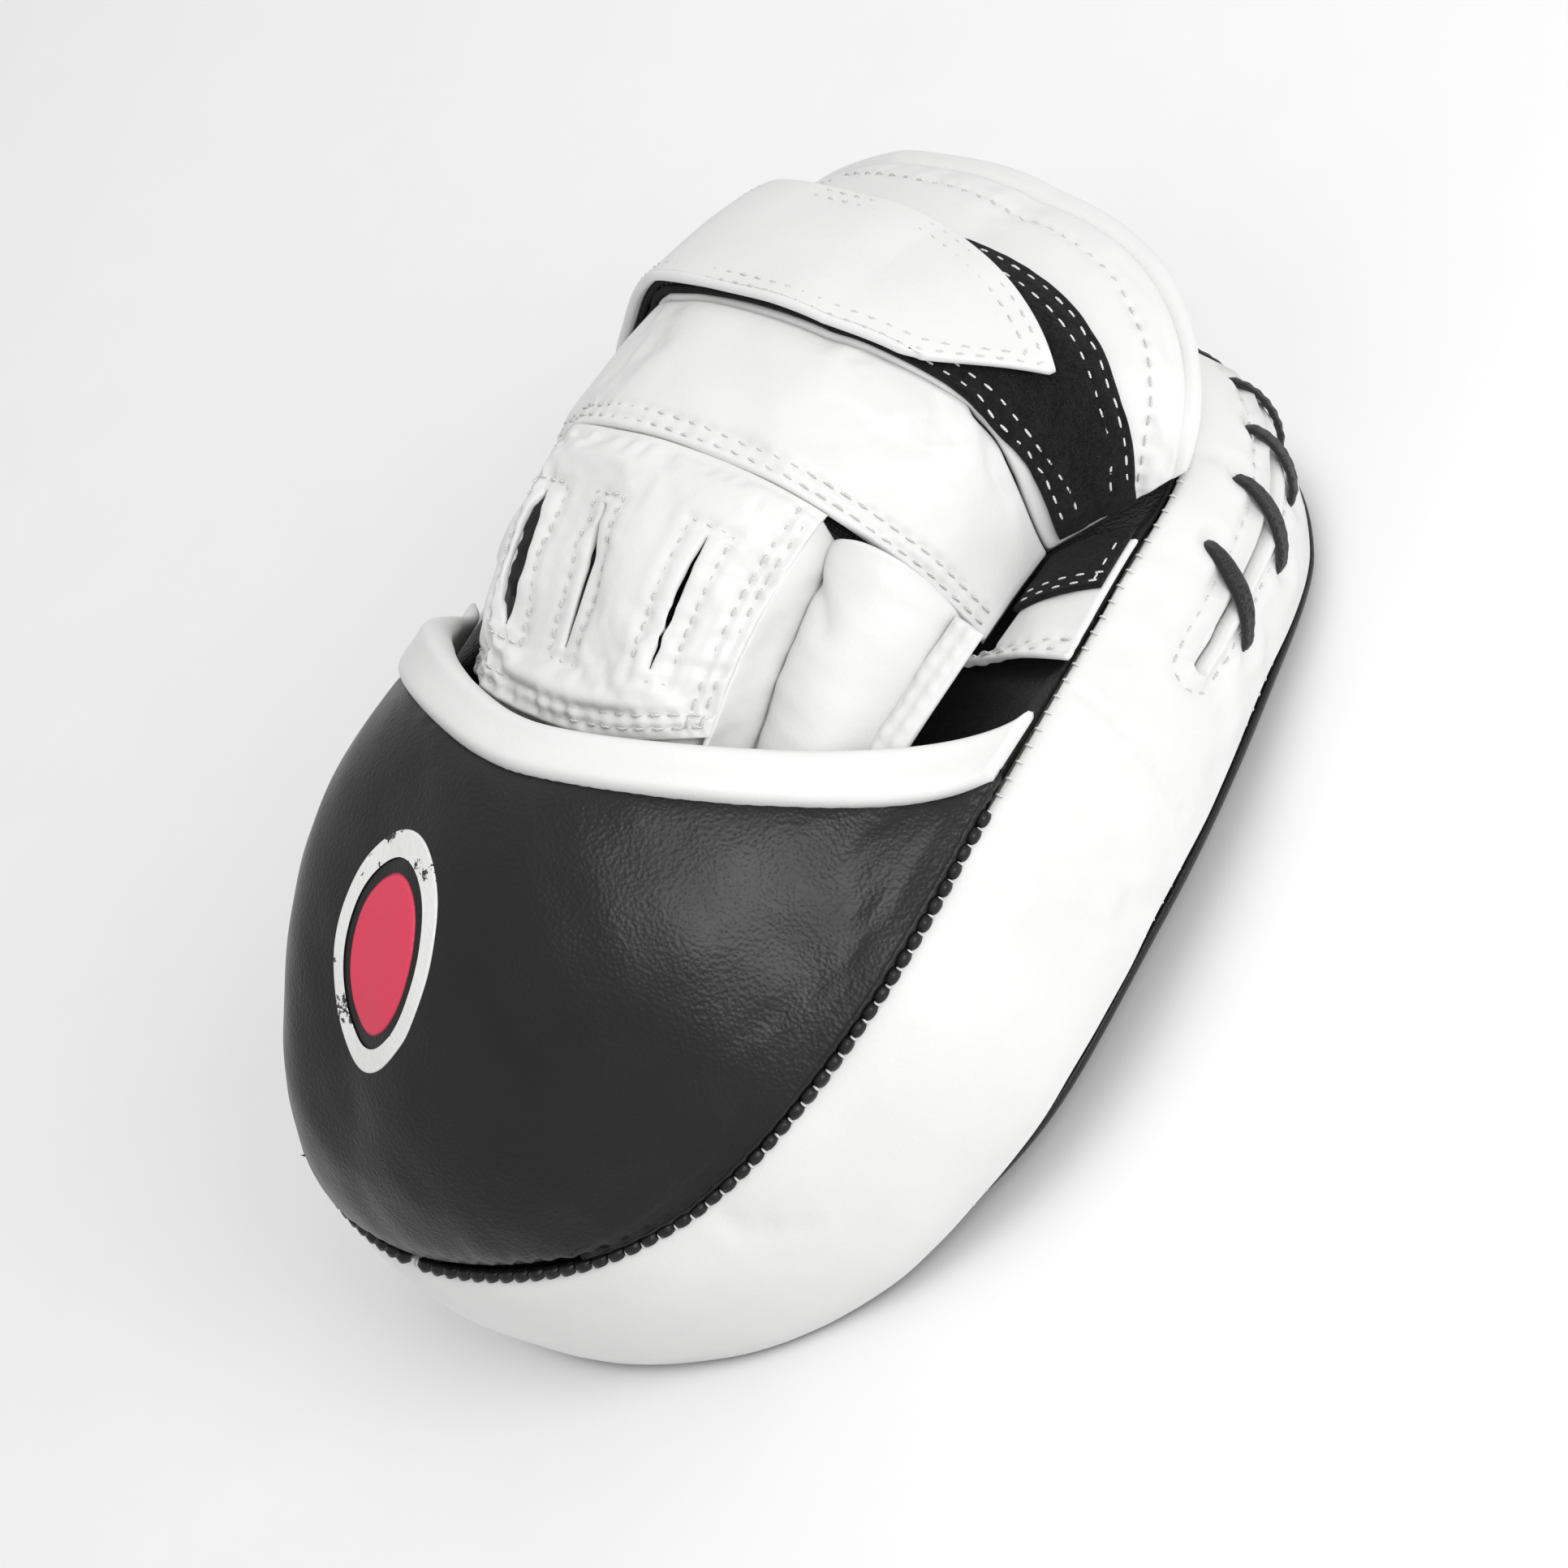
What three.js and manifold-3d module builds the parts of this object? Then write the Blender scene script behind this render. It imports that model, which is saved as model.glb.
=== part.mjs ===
// Curved focus mitt: a foam strike pad with a padded finger hood, a hand shell and a wrist strap.
// Millimetres. +Z is the back of the hand, -Y the fingertip end, +X the thumb side.
// Shapes are drawn about the middle of the hand, then moved so that the origin is below the centre.
import * as THREE from 'three';
import { mergeVertices } from 'three/addons/utils/BufferGeometryUtils.js';
import Module from 'manifold-3d';

const wasm = await Module();
wasm.setup();

// ---- driving dimensions -------------------------------------------------------------------
const ORIGIN_Y = 11.068;          // centre of the whole mitt in the drawing's own Y
const PAD_DEPTH = 46;            // strike face to back seam
const STRIKE_SAG = 9;            // hollow of the strike face between its two resting ends
const SAG_TIP_Y = -86;           // the hollow starts here at the fingertip end
const SAG_WRIST_Y = 100;         // and ends here at the wrist end
const SAG_MID_Y = -6;
const CORNER_R = 4;              // rounding of the strike cover at its edge
const COVER_T = 2.4;             // cover leather with its backing
const GUSSET_T = 3;
const GUSSET_BULGE = 4;
const GAP = 0.5;                 // clearance between neighbouring pieces
const FOAM_INSET = 7;            // foam edge to the outside of the gusset

const HOOD_RISE = 59;            // hood opening above the back seam
const HOOD_EDGE_Y = -31.5;       // lowest place of the hood opening
const OPENING_DIP_U = 0.2;       // which is this far to the thumb side
const HOOD_FAR_SWELL = 9;        // fullness of the little finger side of the hood
const HOOD_SIDE_Y = 15;          // where the opening meets the side seams
const HOOD_SIDE_SEAM = 4.10;     // the same place counted in seam points
const HOOD_LEAN = 12;            // the crown leans to the thumb side
const FAR_TIP_CUT = 1;           // the little finger side of the fingertip end is cut back
const HOOD_PADDING_T = 6;
const LINING_T = 1.4;
const BINDING_W = 8;

const SHELL_W = 68;              // half width of the hand shell at the knuckles
const SHELL_RISE = 66;           // top of the hand shell above the back panel
const SHELL_FRONT_Y = 40.5;       // lower edge of the knuckle band
const SHELL_CREST_Y = 79;        // where the cuff starts to fall to the wrist
const CREST_SWEEP = 15;
const CREST_BOW = 5;             // the crest bows forward over the back of the hand
const SHELL_POWER = 2.7;         // squareness of the arch on the thumb side
const SHELL_FAR_POWER = 1.2;     // and on the little finger side, which slopes off
const SHELL_PADDING_T = 4;
const NEAR_PUFF = 6;             // the thumb side of the shell swells out towards the cuff
const SHELL_BASE = 2.4;          // shell and cuff start this far above the back seam

const RIM_W = 84;                // half width of the cuff rim
const RIM_RISE = 40;
const RIM_Y = 131;
const RIM_SWEEP = 44;            // how far the rim comes forward at its ends
const RIM_POWER = 1.8;
const RIM_FAR_POWER = 1.2;
const RIM_ROLL_W = 5;

const STRAP_T = 2.2;
const HOOK_T = 1.2;
const LOOP_T = 1.2;
const LACE_W = 4;                // flat lace
const LACE_T = 1.3;
const LACE_HOLE_R = 3;
const LACE_CROSSINGS = 12;
const LACE_TOP = 0.74;           // lace holes, as shares of the gusset height
const LACE_BOTTOM = 0.24;
const SLIT_FROM = 0.305;         // ends of the laced slit, as a share of the way round the pad
const SLIT_TO = 0.695;
const SLIT_HEIGHT = 0.47;        // share of the gusset height
const SLIT_W = 1.4;

// half width and Y of each outline point, fingertip to wrist
const BACK_SEAM = [
  [0, -115.5], [46.5, -104], [72.5, -78.5], [89, -38], [91, 10], [87, 60], [80, 96], [60, 120], [0, 127],
];
const STRIKE_EDGE = [
  [0, -109], [46, -98.5], [78, -74.5], [102, -37], [104, 12], [94, 65], [79, 104], [54, 124], [0, 129],
];
const FINGERS = [
  { x: -26, mouthRise: 23, tipRise: 12.8, tipY: -63 },
  { x: -5, mouthRise: 36, tipRise: 15, tipY: -75 },
  { x: 17, mouthRise: 36, tipRise: 15, tipY: -79 },
  { x: 39, mouthRise: 33, tipRise: 14, tipY: -71 },
];
const FINGER_R = 10.4;
const FINGER_MOUTH_Y = -6;
const STALL_T = 1.5;
const GRIP_RISE = 14;            // palm bolster on the back panel
const VENT_SLOTS_X = [-20, 1, 22, 46];
const VENT_SLOT_W = 3.4;
const VENT_FAR_POWER = 1.05;

const BLACK = { color: 0x333333, roughness: 0.55 };
const WHITE = { color: 0xf0f0ee, roughness: 0.5 };
const FOAM = { color: 0xd8d2c0, roughness: 0.95 };
const CLOTH = { color: 0x2a2a2c, roughness: 0.95 };
const LOOP = { color: 0x101010, roughness: 1 };
const RED = { color: 0xd93658, roughness: 0.5 };

const group = new THREE.Group();
const lerp = THREE.MathUtils.lerp;
const clamp = THREE.MathUtils.clamp;

function vec(x, y, z) {
  return new THREE.Vector3(x, y, z);
}

function smooth(value, from, to) {
  return THREE.MathUtils.smoothstep(value, from, to);
}

// ---- outlines and heights -------------------------------------------------------------------
function farPoint([x, y]) {
  const cut = FAR_TIP_CUT * clamp((-60 - y) / 40, 0, 1);
  return vec(cut - x, y + cut, 0);
}

function closedOutline(points) {
  const near = points.map(([x, y]) => vec(x, y, 0));
  const far = points.slice(1, -1).reverse().map(farPoint);
  return new THREE.CatmullRomCurve3([...near, ...far], true, 'centripetal');
}

const backSeam = closedOutline(BACK_SEAM);
const strikeEdge = closedOutline(STRIKE_EDGE);

// direction along an outline, the same on both sides of its own join
function outlineTangent(outline, t) {
  const step = 1e-4;
  return outline.getPoint(t + step).sub(outline.getPoint(t - step)).normalize();
}

// seam point by its number from the fingertip; negative numbers run up the far side
function seamAt(number) {
  return backSeam.getPoint(number / 16);
}

function strikeZ(y) {
  const span = y < SAG_MID_Y ? SAG_MID_Y - SAG_TIP_Y : SAG_WRIST_Y - SAG_MID_Y;
  const along = Math.min(1, Math.abs(y - SAG_MID_Y) / span);
  return STRIKE_SAG * (1 - along * along) ** 1.2;
}

function backZ(y) {
  return strikeZ(y) + PAD_DEPTH;
}

// ---- surfaces -----------------------------------------------------------------------------
function gussetSurface(t, v) {
  const low = strikeEdge.getPoint(t);
  const high = backSeam.getPoint(t);
  const tangent = outlineTangent(backSeam, t);
  const out = GUSSET_BULGE * 4 * v * (1 - v);
  const x = lerp(low.x, high.x, v) + tangent.y * out;
  const y = lerp(low.y, high.y, v) - tangent.x * out;
  return vec(x, y, lerp(strikeZ(low.y) + CORNER_R + 2 * GAP, backZ(high.y) - GAP, v));
}

// how far a front edge has come back towards the wrist
function openingShare(u) {
  const away = u - OPENING_DIP_U;
  if (away > 0) return (away / (1 - OPENING_DIP_U)) ** 1.75;
  return (-away / (1 + OPENING_DIP_U)) ** 1.3;
}

function hoodSurface(u, v) {
  const along = Math.max(0, v) ** 1.5;
  const inside = Math.min(along, 1);
  const rise = v < 1 ? Math.max(0, 1 - (1 - v) ** 2) ** 0.9 : 1;
  const front = seamAt(u);
  const corner = seamAt(1);
  const side = seamAt(lerp(1, HOOD_SIDE_SEAM, inside));
  const edgeX = seamAt(HOOD_SIDE_SEAM).x;
  const edgeY = lerp(HOOD_EDGE_Y, HOOD_SIDE_Y, openingShare(u));
  const sideX = side.x - lerp(corner.x, edgeX, inside);
  const sideY = side.y - lerp(corner.y, HOOD_SIDE_Y, inside);
  const lean = HOOD_LEAN * rise * (1 - u * u);
  const x = lerp(front.x, edgeX * u, inside) + sideX * u + lean;
  const y = lerp(front.y, edgeY, along) + sideY * u * u;
  const arch = Math.max(0, 1 - Math.abs(u) ** 2.4) ** 1.75;
  const swell = HOOD_FAR_SWELL * 4 * Math.max(0, v * (1 - v)) * smooth(-u, 0, 0.4);
  return vec(x, y, backZ(y) + 3.2 + (HOOD_RISE * rise + swell) * arch);
}

function archXZ(u, halfWidth, rise, power, farPower) {
  const turn = u * Math.PI / 2;
  const shape = 2 / (u < 0 ? farPower : power);
  const x = halfWidth * Math.sign(turn) * Math.abs(Math.sin(turn)) ** shape;
  const z = rise * Math.max(0, Math.cos(turn)) ** shape;
  return [x, z];
}

function shellSurface(u, y) {
  const [x, z] = archXZ(u, SHELL_W, SHELL_RISE, SHELL_POWER, SHELL_FAR_POWER);
  return vec(x, y, backZ(y) + SHELL_BASE + z);
}

function crestY(u) {
  const bow = CREST_BOW * smooth(u, -0.7, 0.1) * (1 - Math.max(u, 0) ** 3);
  return SHELL_CREST_Y - CREST_SWEEP * Math.abs(u) ** 3 - bow;
}

function rimCurve(u) {
  const [x, z] = archXZ(u, RIM_W, RIM_RISE, RIM_POWER, RIM_FAR_POWER);
  const y = RIM_Y - RIM_SWEEP * Math.abs(x / RIM_W) ** 4.2;
  return vec(x, y, backZ(y) + SHELL_BASE + z);
}

function nearPuff(u, amount) {
  const swell = amount * Math.sin(Math.PI * clamp((u - 0.35) / 0.65, 0, 1)) ** 1.2;
  return vec(swell, swell * 0.45, -swell * 0.1);
}

function cuffSurface(u, v) {
  const bulge = 3 * Math.sin(Math.PI * clamp(v, 0, 1)) * Math.cos(u * Math.PI / 2);
  const point = shellSurface(u, crestY(u)).lerp(rimCurve(u), v);
  point.add(vec(0, bulge * 0.6, bulge * 0.8));
  return point.add(nearPuff(u, NEAR_PUFF + 8 * v * (1 - 0.7 * v)));
}

// the hand shell and the cuff as one surface: 0 to 1 is the knuckle band, 1 to 2 the cuff
function gloveSurface(u, w) {
  if (w >= 1) return cuffSurface(u, w - 1);
  return shellSurface(u, lerp(SHELL_FRONT_Y, crestY(u), w)).add(nearPuff(u, NEAR_PUFF * w * w));
}

function ventSurface(u, v) {
  const front = -18 + 32 * openingShare(u);
  const y = lerp(front, SHELL_FRONT_Y - 2 * GAP, v);
  const drop = (SHELL_FRONT_Y - y) / 70;
  const halfWidth = SHELL_W - 8 * drop;
  const height = SHELL_RISE - 27 * drop * drop;
  const [x, z] = archXZ(u, halfWidth, height, SHELL_POWER, VENT_FAR_POWER);
  return vec(x, y, backZ(y) + SHELL_BASE + z);
}

// ---- solids ---------------------------------------------------------------------------------
function quad(triangles, a, b, c, d) {
  triangles.push(a, b, c, a, c, d);
}

function gridFaces(nu, nv, base) {
  const triangles = [];
  const at = (i, j, layer) => layer * base + i * (nv + 1) + j;
  for (let i = 0; i < nu; i += 1) {
    for (let j = 0; j < nv; j += 1) {
      quad(triangles, at(i, j, 0), at(i + 1, j, 0), at(i + 1, j + 1, 0), at(i, j + 1, 0));
      quad(triangles, at(i, j, 1), at(i, j + 1, 1), at(i + 1, j + 1, 1), at(i + 1, j, 1));
    }
    quad(triangles, at(i, 0, 0), at(i, 0, 1), at(i + 1, 0, 1), at(i + 1, 0, 0));
    quad(triangles, at(i, nv, 0), at(i + 1, nv, 0), at(i + 1, nv, 1), at(i, nv, 1));
  }
  for (let j = 0; j < nv; j += 1) {
    quad(triangles, at(0, j, 0), at(0, j + 1, 0), at(0, j + 1, 1), at(0, j, 1));
    quad(triangles, at(nu, j, 0), at(nu, j, 1), at(nu, j + 1, 1), at(nu, j + 1, 0));
  }
  return triangles;
}

// drops the doubled walls of a grid closed on itself and the flat triangles of a pinched end
function weld(positions, triangles) {
  const raw = new THREE.BufferGeometry();
  raw.setAttribute('position', new THREE.Float32BufferAttribute(positions, 3));
  raw.setIndex(triangles);
  const merged = mergeVertices(raw, 1e-3);
  const faces = new Map();
  for (let i = 0; i < merged.index.count; i += 3) {
    const corners = [0, 1, 2].map((step) => merged.index.getX(i + step));
    const key = [...corners].sort((a, b) => a - b).join(' ');
    const flat = new Set(corners).size < 3;
    if (!flat && faces.has(key)) faces.delete(key);
    else if (!flat) faces.set(key, corners);
  }
  merged.setIndex([...faces.values()].flat());
  return merged;
}

// closed solid between an outer and an inner sheet, both functions of two shares from 0 to 1
function between(outer, inner, nu, nv) {
  const layers = [outer, inner];
  const positions = [];
  for (const sheet of layers) {
    for (let i = 0; i <= nu; i += 1) {
      for (let j = 0; j <= nv; j += 1) {
        positions.push(...sheet(i / nu, j / nv).toArray());
      }
    }
  }
  return weld(positions, gridFaces(nu, nv, (nu + 1) * (nv + 1)));
}

function normalOf(surface, a, b) {
  const step = 1e-3;
  const alongA = surface(a + step, b).sub(surface(a - step, b));
  const alongB = surface(a, b + step).sub(surface(a, b - step));
  return alongA.cross(alongB).normalize();
}

// the lift is a number or a function of the two parameters
function lifted(surface, amount) {
  const lift = typeof amount === 'function' ? amount : () => amount;
  return (a, b) => surface(a, b).addScaledVector(normalOf(surface, a, b), lift(a, b));
}

// sheet of a surface over a range of its two parameters, from one lift down to another
function sheetSolid(surface, rangeA, rangeB, top, bottom, nu, nv) {
  const over = (lift) => {
    const raised = lifted(surface, lift);
    return (a, b) => raised(lerp(rangeA[0], rangeA[1], a), lerp(rangeB[0], rangeB[1], b));
  };
  return between(over(top), over(bottom), nu, nv);
}

function add(name, geometry, look) {
  geometry.deleteAttribute('normal');
  const faceted = geometry.toNonIndexed();
  faceted.computeVertexNormals();
  const material = new THREE.MeshStandardMaterial({ ...look, metalness: 0 });
  const mesh = new THREE.Mesh(faceted, material);
  mesh.name = name;
  mesh.position.y = -ORIGIN_Y;
  group.add(mesh);
}

// ---- strike pad -----------------------------------------------------------------------------
function padOutline(t, height, inset) {
  const low = strikeEdge.getPoint(t);
  const high = backSeam.getPoint(t);
  const tangent = outlineTangent(backSeam, t);
  const share = height / PAD_DEPTH;
  const x = lerp(low.x, high.x, share) - tangent.y * inset;
  const y = lerp(low.y, high.y, share) + tangent.x * inset;
  return vec(x, y, 0);
}

// flat layer of the pad that follows the hollow of the strike face
function padLayer(low, high, inset) {
  const sheet = (height) => (t, r) => {
    const point = padOutline(t, (low + high) / 2, inset).multiplyScalar(r);
    return point.setZ(strikeZ(point.y) + height);
  };
  return between(sheet(low), sheet(high), 32, 3);
}

function strikeCoverSheet(depth) {
  return (t, r) => {
    const turn = Math.max(0, (r - 0.75) / 0.25) * Math.PI / 2;
    const flat = padOutline(t, 0, CORNER_R).multiplyScalar(Math.min(1, r / 0.75));
    const out = padOutline(t, 0, 0).sub(padOutline(t, 0, CORNER_R)).normalize();
    const radius = CORNER_R - depth;
    flat.addScaledVector(out, radius * Math.sin(turn));
    const rest = strikeZ(flat.y) + CORNER_R - radius * Math.cos(turn);
    return flat.setZ(rest);
  };
}

function addPad() {
  add('strike_cover', between(strikeCoverSheet(0), strikeCoverSheet(COVER_T), 32, 12), BLACK);
  add('foam_strike_layer', padLayer(3.4, 15.8, FOAM_INSET + 1.5), FOAM);
  add('foam_core_layer', padLayer(16.6, 29.8, FOAM_INSET), FOAM);
  add('foam_back_layer', padLayer(30.6, 42, FOAM_INSET), FOAM);
  add('back_panel', padLayer(42.8, 45.2, GUSSET_T + 1.2), BLACK);
}

// ---- laced gusset -----------------------------------------------------------------------------
function laceShare(number) {
  return lerp(SLIT_FROM, SLIT_TO, (number + 0.9) / (LACE_CROSSINGS + 0.8));
}

function laceHoles() {
  const holes = [];
  for (let i = 0; i < LACE_CROSSINGS; i += 1) {
    const inwards = clamp(Math.min(i, LACE_CROSSINGS - 1 - i) / 2, 0, 1);
    const top = lerp(LACE_TOP, LACE_TOP - 0.12, inwards ** 2);
    holes.push([laceShare(i) + 0.012, top], [laceShare(i) - 0.012, LACE_BOTTOM]);
  }
  return holes;
}

function boreAt([t, v]) {
  const bore = new THREE.CylinderGeometry(LACE_HOLE_R, LACE_HOLE_R, 16, 8);
  const normal = normalOf(gussetSurface, t, v);
  bore.applyQuaternion(new THREE.Quaternion().setFromUnitVectors(vec(0, 1, 0), normal));
  const centre = gussetSurface(t, v);
  return bore.translate(centre.x, centre.y, centre.z);
}

function toManifold(geometry) {
  const bare = geometry.clone();
  bare.deleteAttribute('normal');
  bare.deleteAttribute('uv');
  const merged = mergeVertices(bare, 1e-3);
  const mesh = new wasm.Mesh({
    numProp: 3,
    vertProperties: merged.attributes.position.array,
    triVerts: new Uint32Array(merged.index.array),
  });
  return new wasm.Manifold(mesh);
}

function fromManifold(solid) {
  const mesh = solid.getMesh();
  const geometry = new THREE.BufferGeometry();
  geometry.setAttribute('position', new THREE.BufferAttribute(mesh.vertProperties, 3));
  geometry.setIndex([...mesh.triVerts]);
  return geometry;
}

function addGusset() {
  const ring = sheetSolid(gussetSurface, [0, 1], [0, 1], 0, -GUSSET_T, 56, 4);
  const half = SLIT_W / PAD_DEPTH / 2;
  const heights = [SLIT_HEIGHT - half, SLIT_HEIGHT + half];
  const slit = sheetSolid(gussetSurface, [SLIT_FROM, SLIT_TO], heights, 2, -GUSSET_T - 2, 28, 1);
  const cuts = [slit, ...laceHoles().map(boreAt)].map(toManifold);
  const cut = cuts.reduce((solid, tool) => solid.subtract(tool), toManifold(ring));
  add('side_gusset', fromManifold(cut), WHITE);
}

// the lace goes down each crossing outside and back up to the next one inside
function laceRuns() {
  const holes = laceHoles();
  const first = [holes[0][0] - 0.03, 0.9];
  const last = [holes.at(-1)[0] + 0.03, 0.9];
  const stops = [first, ...holes, last];
  return stops.slice(1).map((end, index) => {
    const start = stops[index];
    const outside = index % 2 === 1;
    const heading = gussetSurface(...end).sub(gussetSurface(...start));
    return { start, end, outside, heading: heading.multiplyScalar(outside ? 1 : -1) };
  });
}

function lacePlace(t, v, lift, heading) {
  const normal = normalOf(gussetSurface, t, v);
  const point = gussetSurface(t, v).addScaledVector(normal, lift);
  return { point, across: heading.clone().cross(normal).normalize() };
}

function lacePlaces() {
  const clear = 0.6 + LACE_T / 2;
  const steps = 3;
  const runs = laceRuns();
  const places = [];
  runs.forEach((run, index) => {
    const lift = run.outside ? clear : -GUSSET_T - clear - 0.7;
    for (let i = 0; i <= steps; i += 1) {
      const t = lerp(run.start[0], run.end[0], i / steps);
      const v = lerp(run.start[1], run.end[1], i / steps);
      places.push(lacePlace(t, v, lift, run.heading));
    }
    const next = runs[index + 1];
    if (next) {
      const heading = run.heading.clone().normalize().add(next.heading.clone().normalize());
      places.push(lacePlace(...run.end, -GUSSET_T / 2, heading));
    }
  });
  return places;
}

function addLace() {
  const places = lacePlaces();
  const last = places.length - 1;
  const side = (sign) => (a, b) => {
    const index = Math.round(a * last);
    const before = places[Math.max(0, index - 1)].point;
    const after = places[Math.min(last, index + 1)].point;
    const { point, across } = places[index];
    const up = across.clone().cross(after.clone().sub(before)).normalize();
    const edge = point.clone().addScaledVector(across, (0.5 - b) * LACE_W);
    return edge.addScaledVector(up, sign * LACE_T / 2);
  };
  add('lace', between(side(1), side(-1), last, 1), BLACK);
}

// ---- finger hood ------------------------------------------------------------------------------
function emblemPatch(inner, outer, lift) {
  const raised = lifted(hoodSurface, lift);
  return (turn, share) => {
    const angle = -turn * Math.PI * 2;
    const radius = lerp(inner, outer, share);
    return raised(0.03 + 0.17 * radius * Math.cos(angle), 0.62 + 0.21 * radius * Math.sin(angle));
  };
}

function emblemPiece(inner, outer, rings) {
  return between(emblemPatch(inner, outer, 1.3), emblemPatch(inner, outer, 0.6), 24, rings);
}

function addHood() {
  const padTop = -COVER_T - 1.8 * GAP;
  const padBottom = padTop - HOOD_PADDING_T;
  const liningTop = padBottom - 1.8 * GAP;
  const depth = liningTop - LINING_T;
  add('finger_hood', sheetSolid(hoodSurface, [-1, 1], [0.004, 1], 0, -COVER_T, 26, 10), BLACK);
  const padding = sheetSolid(hoodSurface, [-0.82, 0.82], [0.27, 1], padTop, padBottom, 22, 6);
  add('hood_padding', padding, FOAM);
  const lining = sheetSolid(hoodSurface, [-0.8, 0.8], [0.33, 1], liningTop, depth, 22, 5);
  add('hood_lining', lining, CLOTH);
  const bottom = (u) => -2 - 4 * clamp((0.9 - Math.abs(u)) / 0.2, 0, 1);
  const edge = [1 + 2 * GAP / 110, 1 + (2 * GAP + BINDING_W) / 110];
  add('hood_binding', sheetSolid(hoodSurface, [-0.96, 0.96], edge, 0.8, bottom, 26, 1), WHITE);
  add('emblem_ring', emblemPiece(0.78, 1, 1), WHITE);
  add('emblem_disc', emblemPiece(0, 0.66, 2), RED);
}

// ---- hand shell and cuff ------------------------------------------------------------------------
function addShell() {
  const padTop = -COVER_T - 1.8 * GAP;
  const padBottom = padTop - SHELL_PADDING_T;
  const liningTop = padBottom - 1.8 * GAP;
  const outer = (range, top, bottom, rows) =>
    sheetSolid(gloveSurface, [-0.998, 0.998], range, top, bottom, 25, rows);
  const inner = (range, top, bottom, rows) =>
    sheetSolid(gloveSurface, [-0.77, 0.97], range, top, bottom, 24, rows);
  add('knuckle_band', outer([0, 0.98], 0, -COVER_T, 3), WHITE);
  add('knuckle_padding', inner([0, 0.88], padTop, padBottom, 3), FOAM);
  add('wrist_cuff', outer([1.01, 2], 0, -COVER_T, 4), WHITE);
  add('cuff_padding', inner([1.08, 2], padTop, padBottom, 4), FOAM);
  add('shell_lining', inner([0, 2], liningTop, liningTop - LINING_T, 8), CLOTH);
  const rollDepth = (u) => -2 - 5 * clamp((0.82 - Math.abs(u)) / 0.15, 0, 1);
  add('cuff_rim_roll', outer([2.045, 2.045 + RIM_ROLL_W / 55], 0.6, rollDepth, 1), WHITE);
}

function flangeSurface(a, b) {
  const tuck = 8 * clamp(1 - b / 0.16, 0, 1);
  const inner = vec(SHELL_W + 1.2 - tuck, lerp(36, 62, b), 0);
  const outer = seamAt(lerp(4.62, 5.32, b));
  const point = inner.lerp(outer, a);
  return point.setZ(backZ(point.y) + 2.4 + 1.5 * Math.sin(Math.PI * a));
}

function addFlanges() {
  const near = sheetSolid(flangeSurface, [0, 1], [0, 1], 0, -2, 4, 6);
  const mirrored = (a, b) => flangeSurface(1 - a, b).multiply(vec(-1, 1, 1));
  add('near_flange', near, WHITE);
  add('far_flange', sheetSolid(mirrored, [0, 1], [0, 1], 0, -2, 4, 6), WHITE);
}

function addStraps() {
  const loopTop = LOOP_T + 1.3 * GAP;
  const hookTop = loopTop + HOOK_T + 1.6 * GAP;
  const low = hookTop + GAP;
  const tape = (a, b) => {
    const u = lerp(-0.62, 0.97, a);
    return cuffSurface(u, lerp(0.02, 0.6, b) + 0.1 * smooth(u, 0.7, 0.95));
  };
  add('loop_patch', sheetSolid(tape, [0, 1], [0, 1], loopTop, loopTop - LOOP_T, 26, 3), LOOP);
  const anchorRange = [[-0.96, -0.73], [0.02, 0.56]];
  const anchor = sheetSolid(cuffSurface, ...anchorRange, low + STRAP_T, 1.4 * GAP, 8, 5);
  add('strap_anchor', anchor, WHITE);
  add('strap_keeper', sheetSolid(gloveSurface, [-0.9, -0.6], [0.66, 0.88], 4.4, GAP, 8, 3), BLACK);
  const strap = (inset) => (a, b) => {
    const u = lerp(-0.71, 0.68 - inset, a);
    const bottom = lerp(-0.03, 0.31, clamp((u - 0.5) / 0.18, 0, 1) ** 1.6) + inset * 0.4;
    const top = lerp(0.56, 0.34, clamp((u - 0.36) / 0.32, 0, 1)) - inset * 0.4;
    return cuffSurface(u, lerp(bottom, top, b));
  };
  add('strap', sheetSolid(strap(0), [0, 1], [0, 1], low + STRAP_T, low, 26, 3), WHITE);
  add('strap_hook', sheetSolid(strap(0.1), [0, 1], [0, 1], hookTop, hookTop - HOOK_T, 22, 2), LOOP);
}

// ---- inside the mitt ----------------------------------------------------------------------------
function stallSheet(finger, wall) {
  return (turn, length) => {
    const y = lerp(finger.tipY, FINGER_MOUTH_Y, length);
    const rise = lerp(finger.tipRise, finger.mouthRise, length);
    const round = Math.sqrt(1 - (1 - Math.min(1, length * 5)) ** 2);
    const radius = (FINGER_R * lerp(0.85, 1, length) - wall) * round;
    const angle = -turn * Math.PI * 2;
    const shiftY = wall * (1 - Math.min(1, length * 5));
    const x = finger.x * lerp(0.9, 1, length) + radius * Math.cos(angle);
    return vec(x, y + shiftY, backZ(y) + rise + radius * Math.sin(angle));
  };
}

function thumbSheet(wall) {
  return (turn, length) => {
    const y = lerp(-22, 38.5, length);
    const round = Math.sqrt(1 - (1 - Math.min(1, length * 4)) ** 2);
    const radiusX = (lerp(9, 13, length) - wall) * round;
    const radiusZ = (lerp(8, 17, length) - wall) * round;
    const angle = -turn * Math.PI * 2;
    const shiftY = wall * (1 - Math.min(1, length * 4));
    const x = lerp(50, 62, length) + radiusX * Math.cos(angle);
    const z = backZ(y) + lerp(9.2, 25, length) + radiusZ * Math.sin(angle);
    return vec(x, y + shiftY, z);
  };
}

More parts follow.
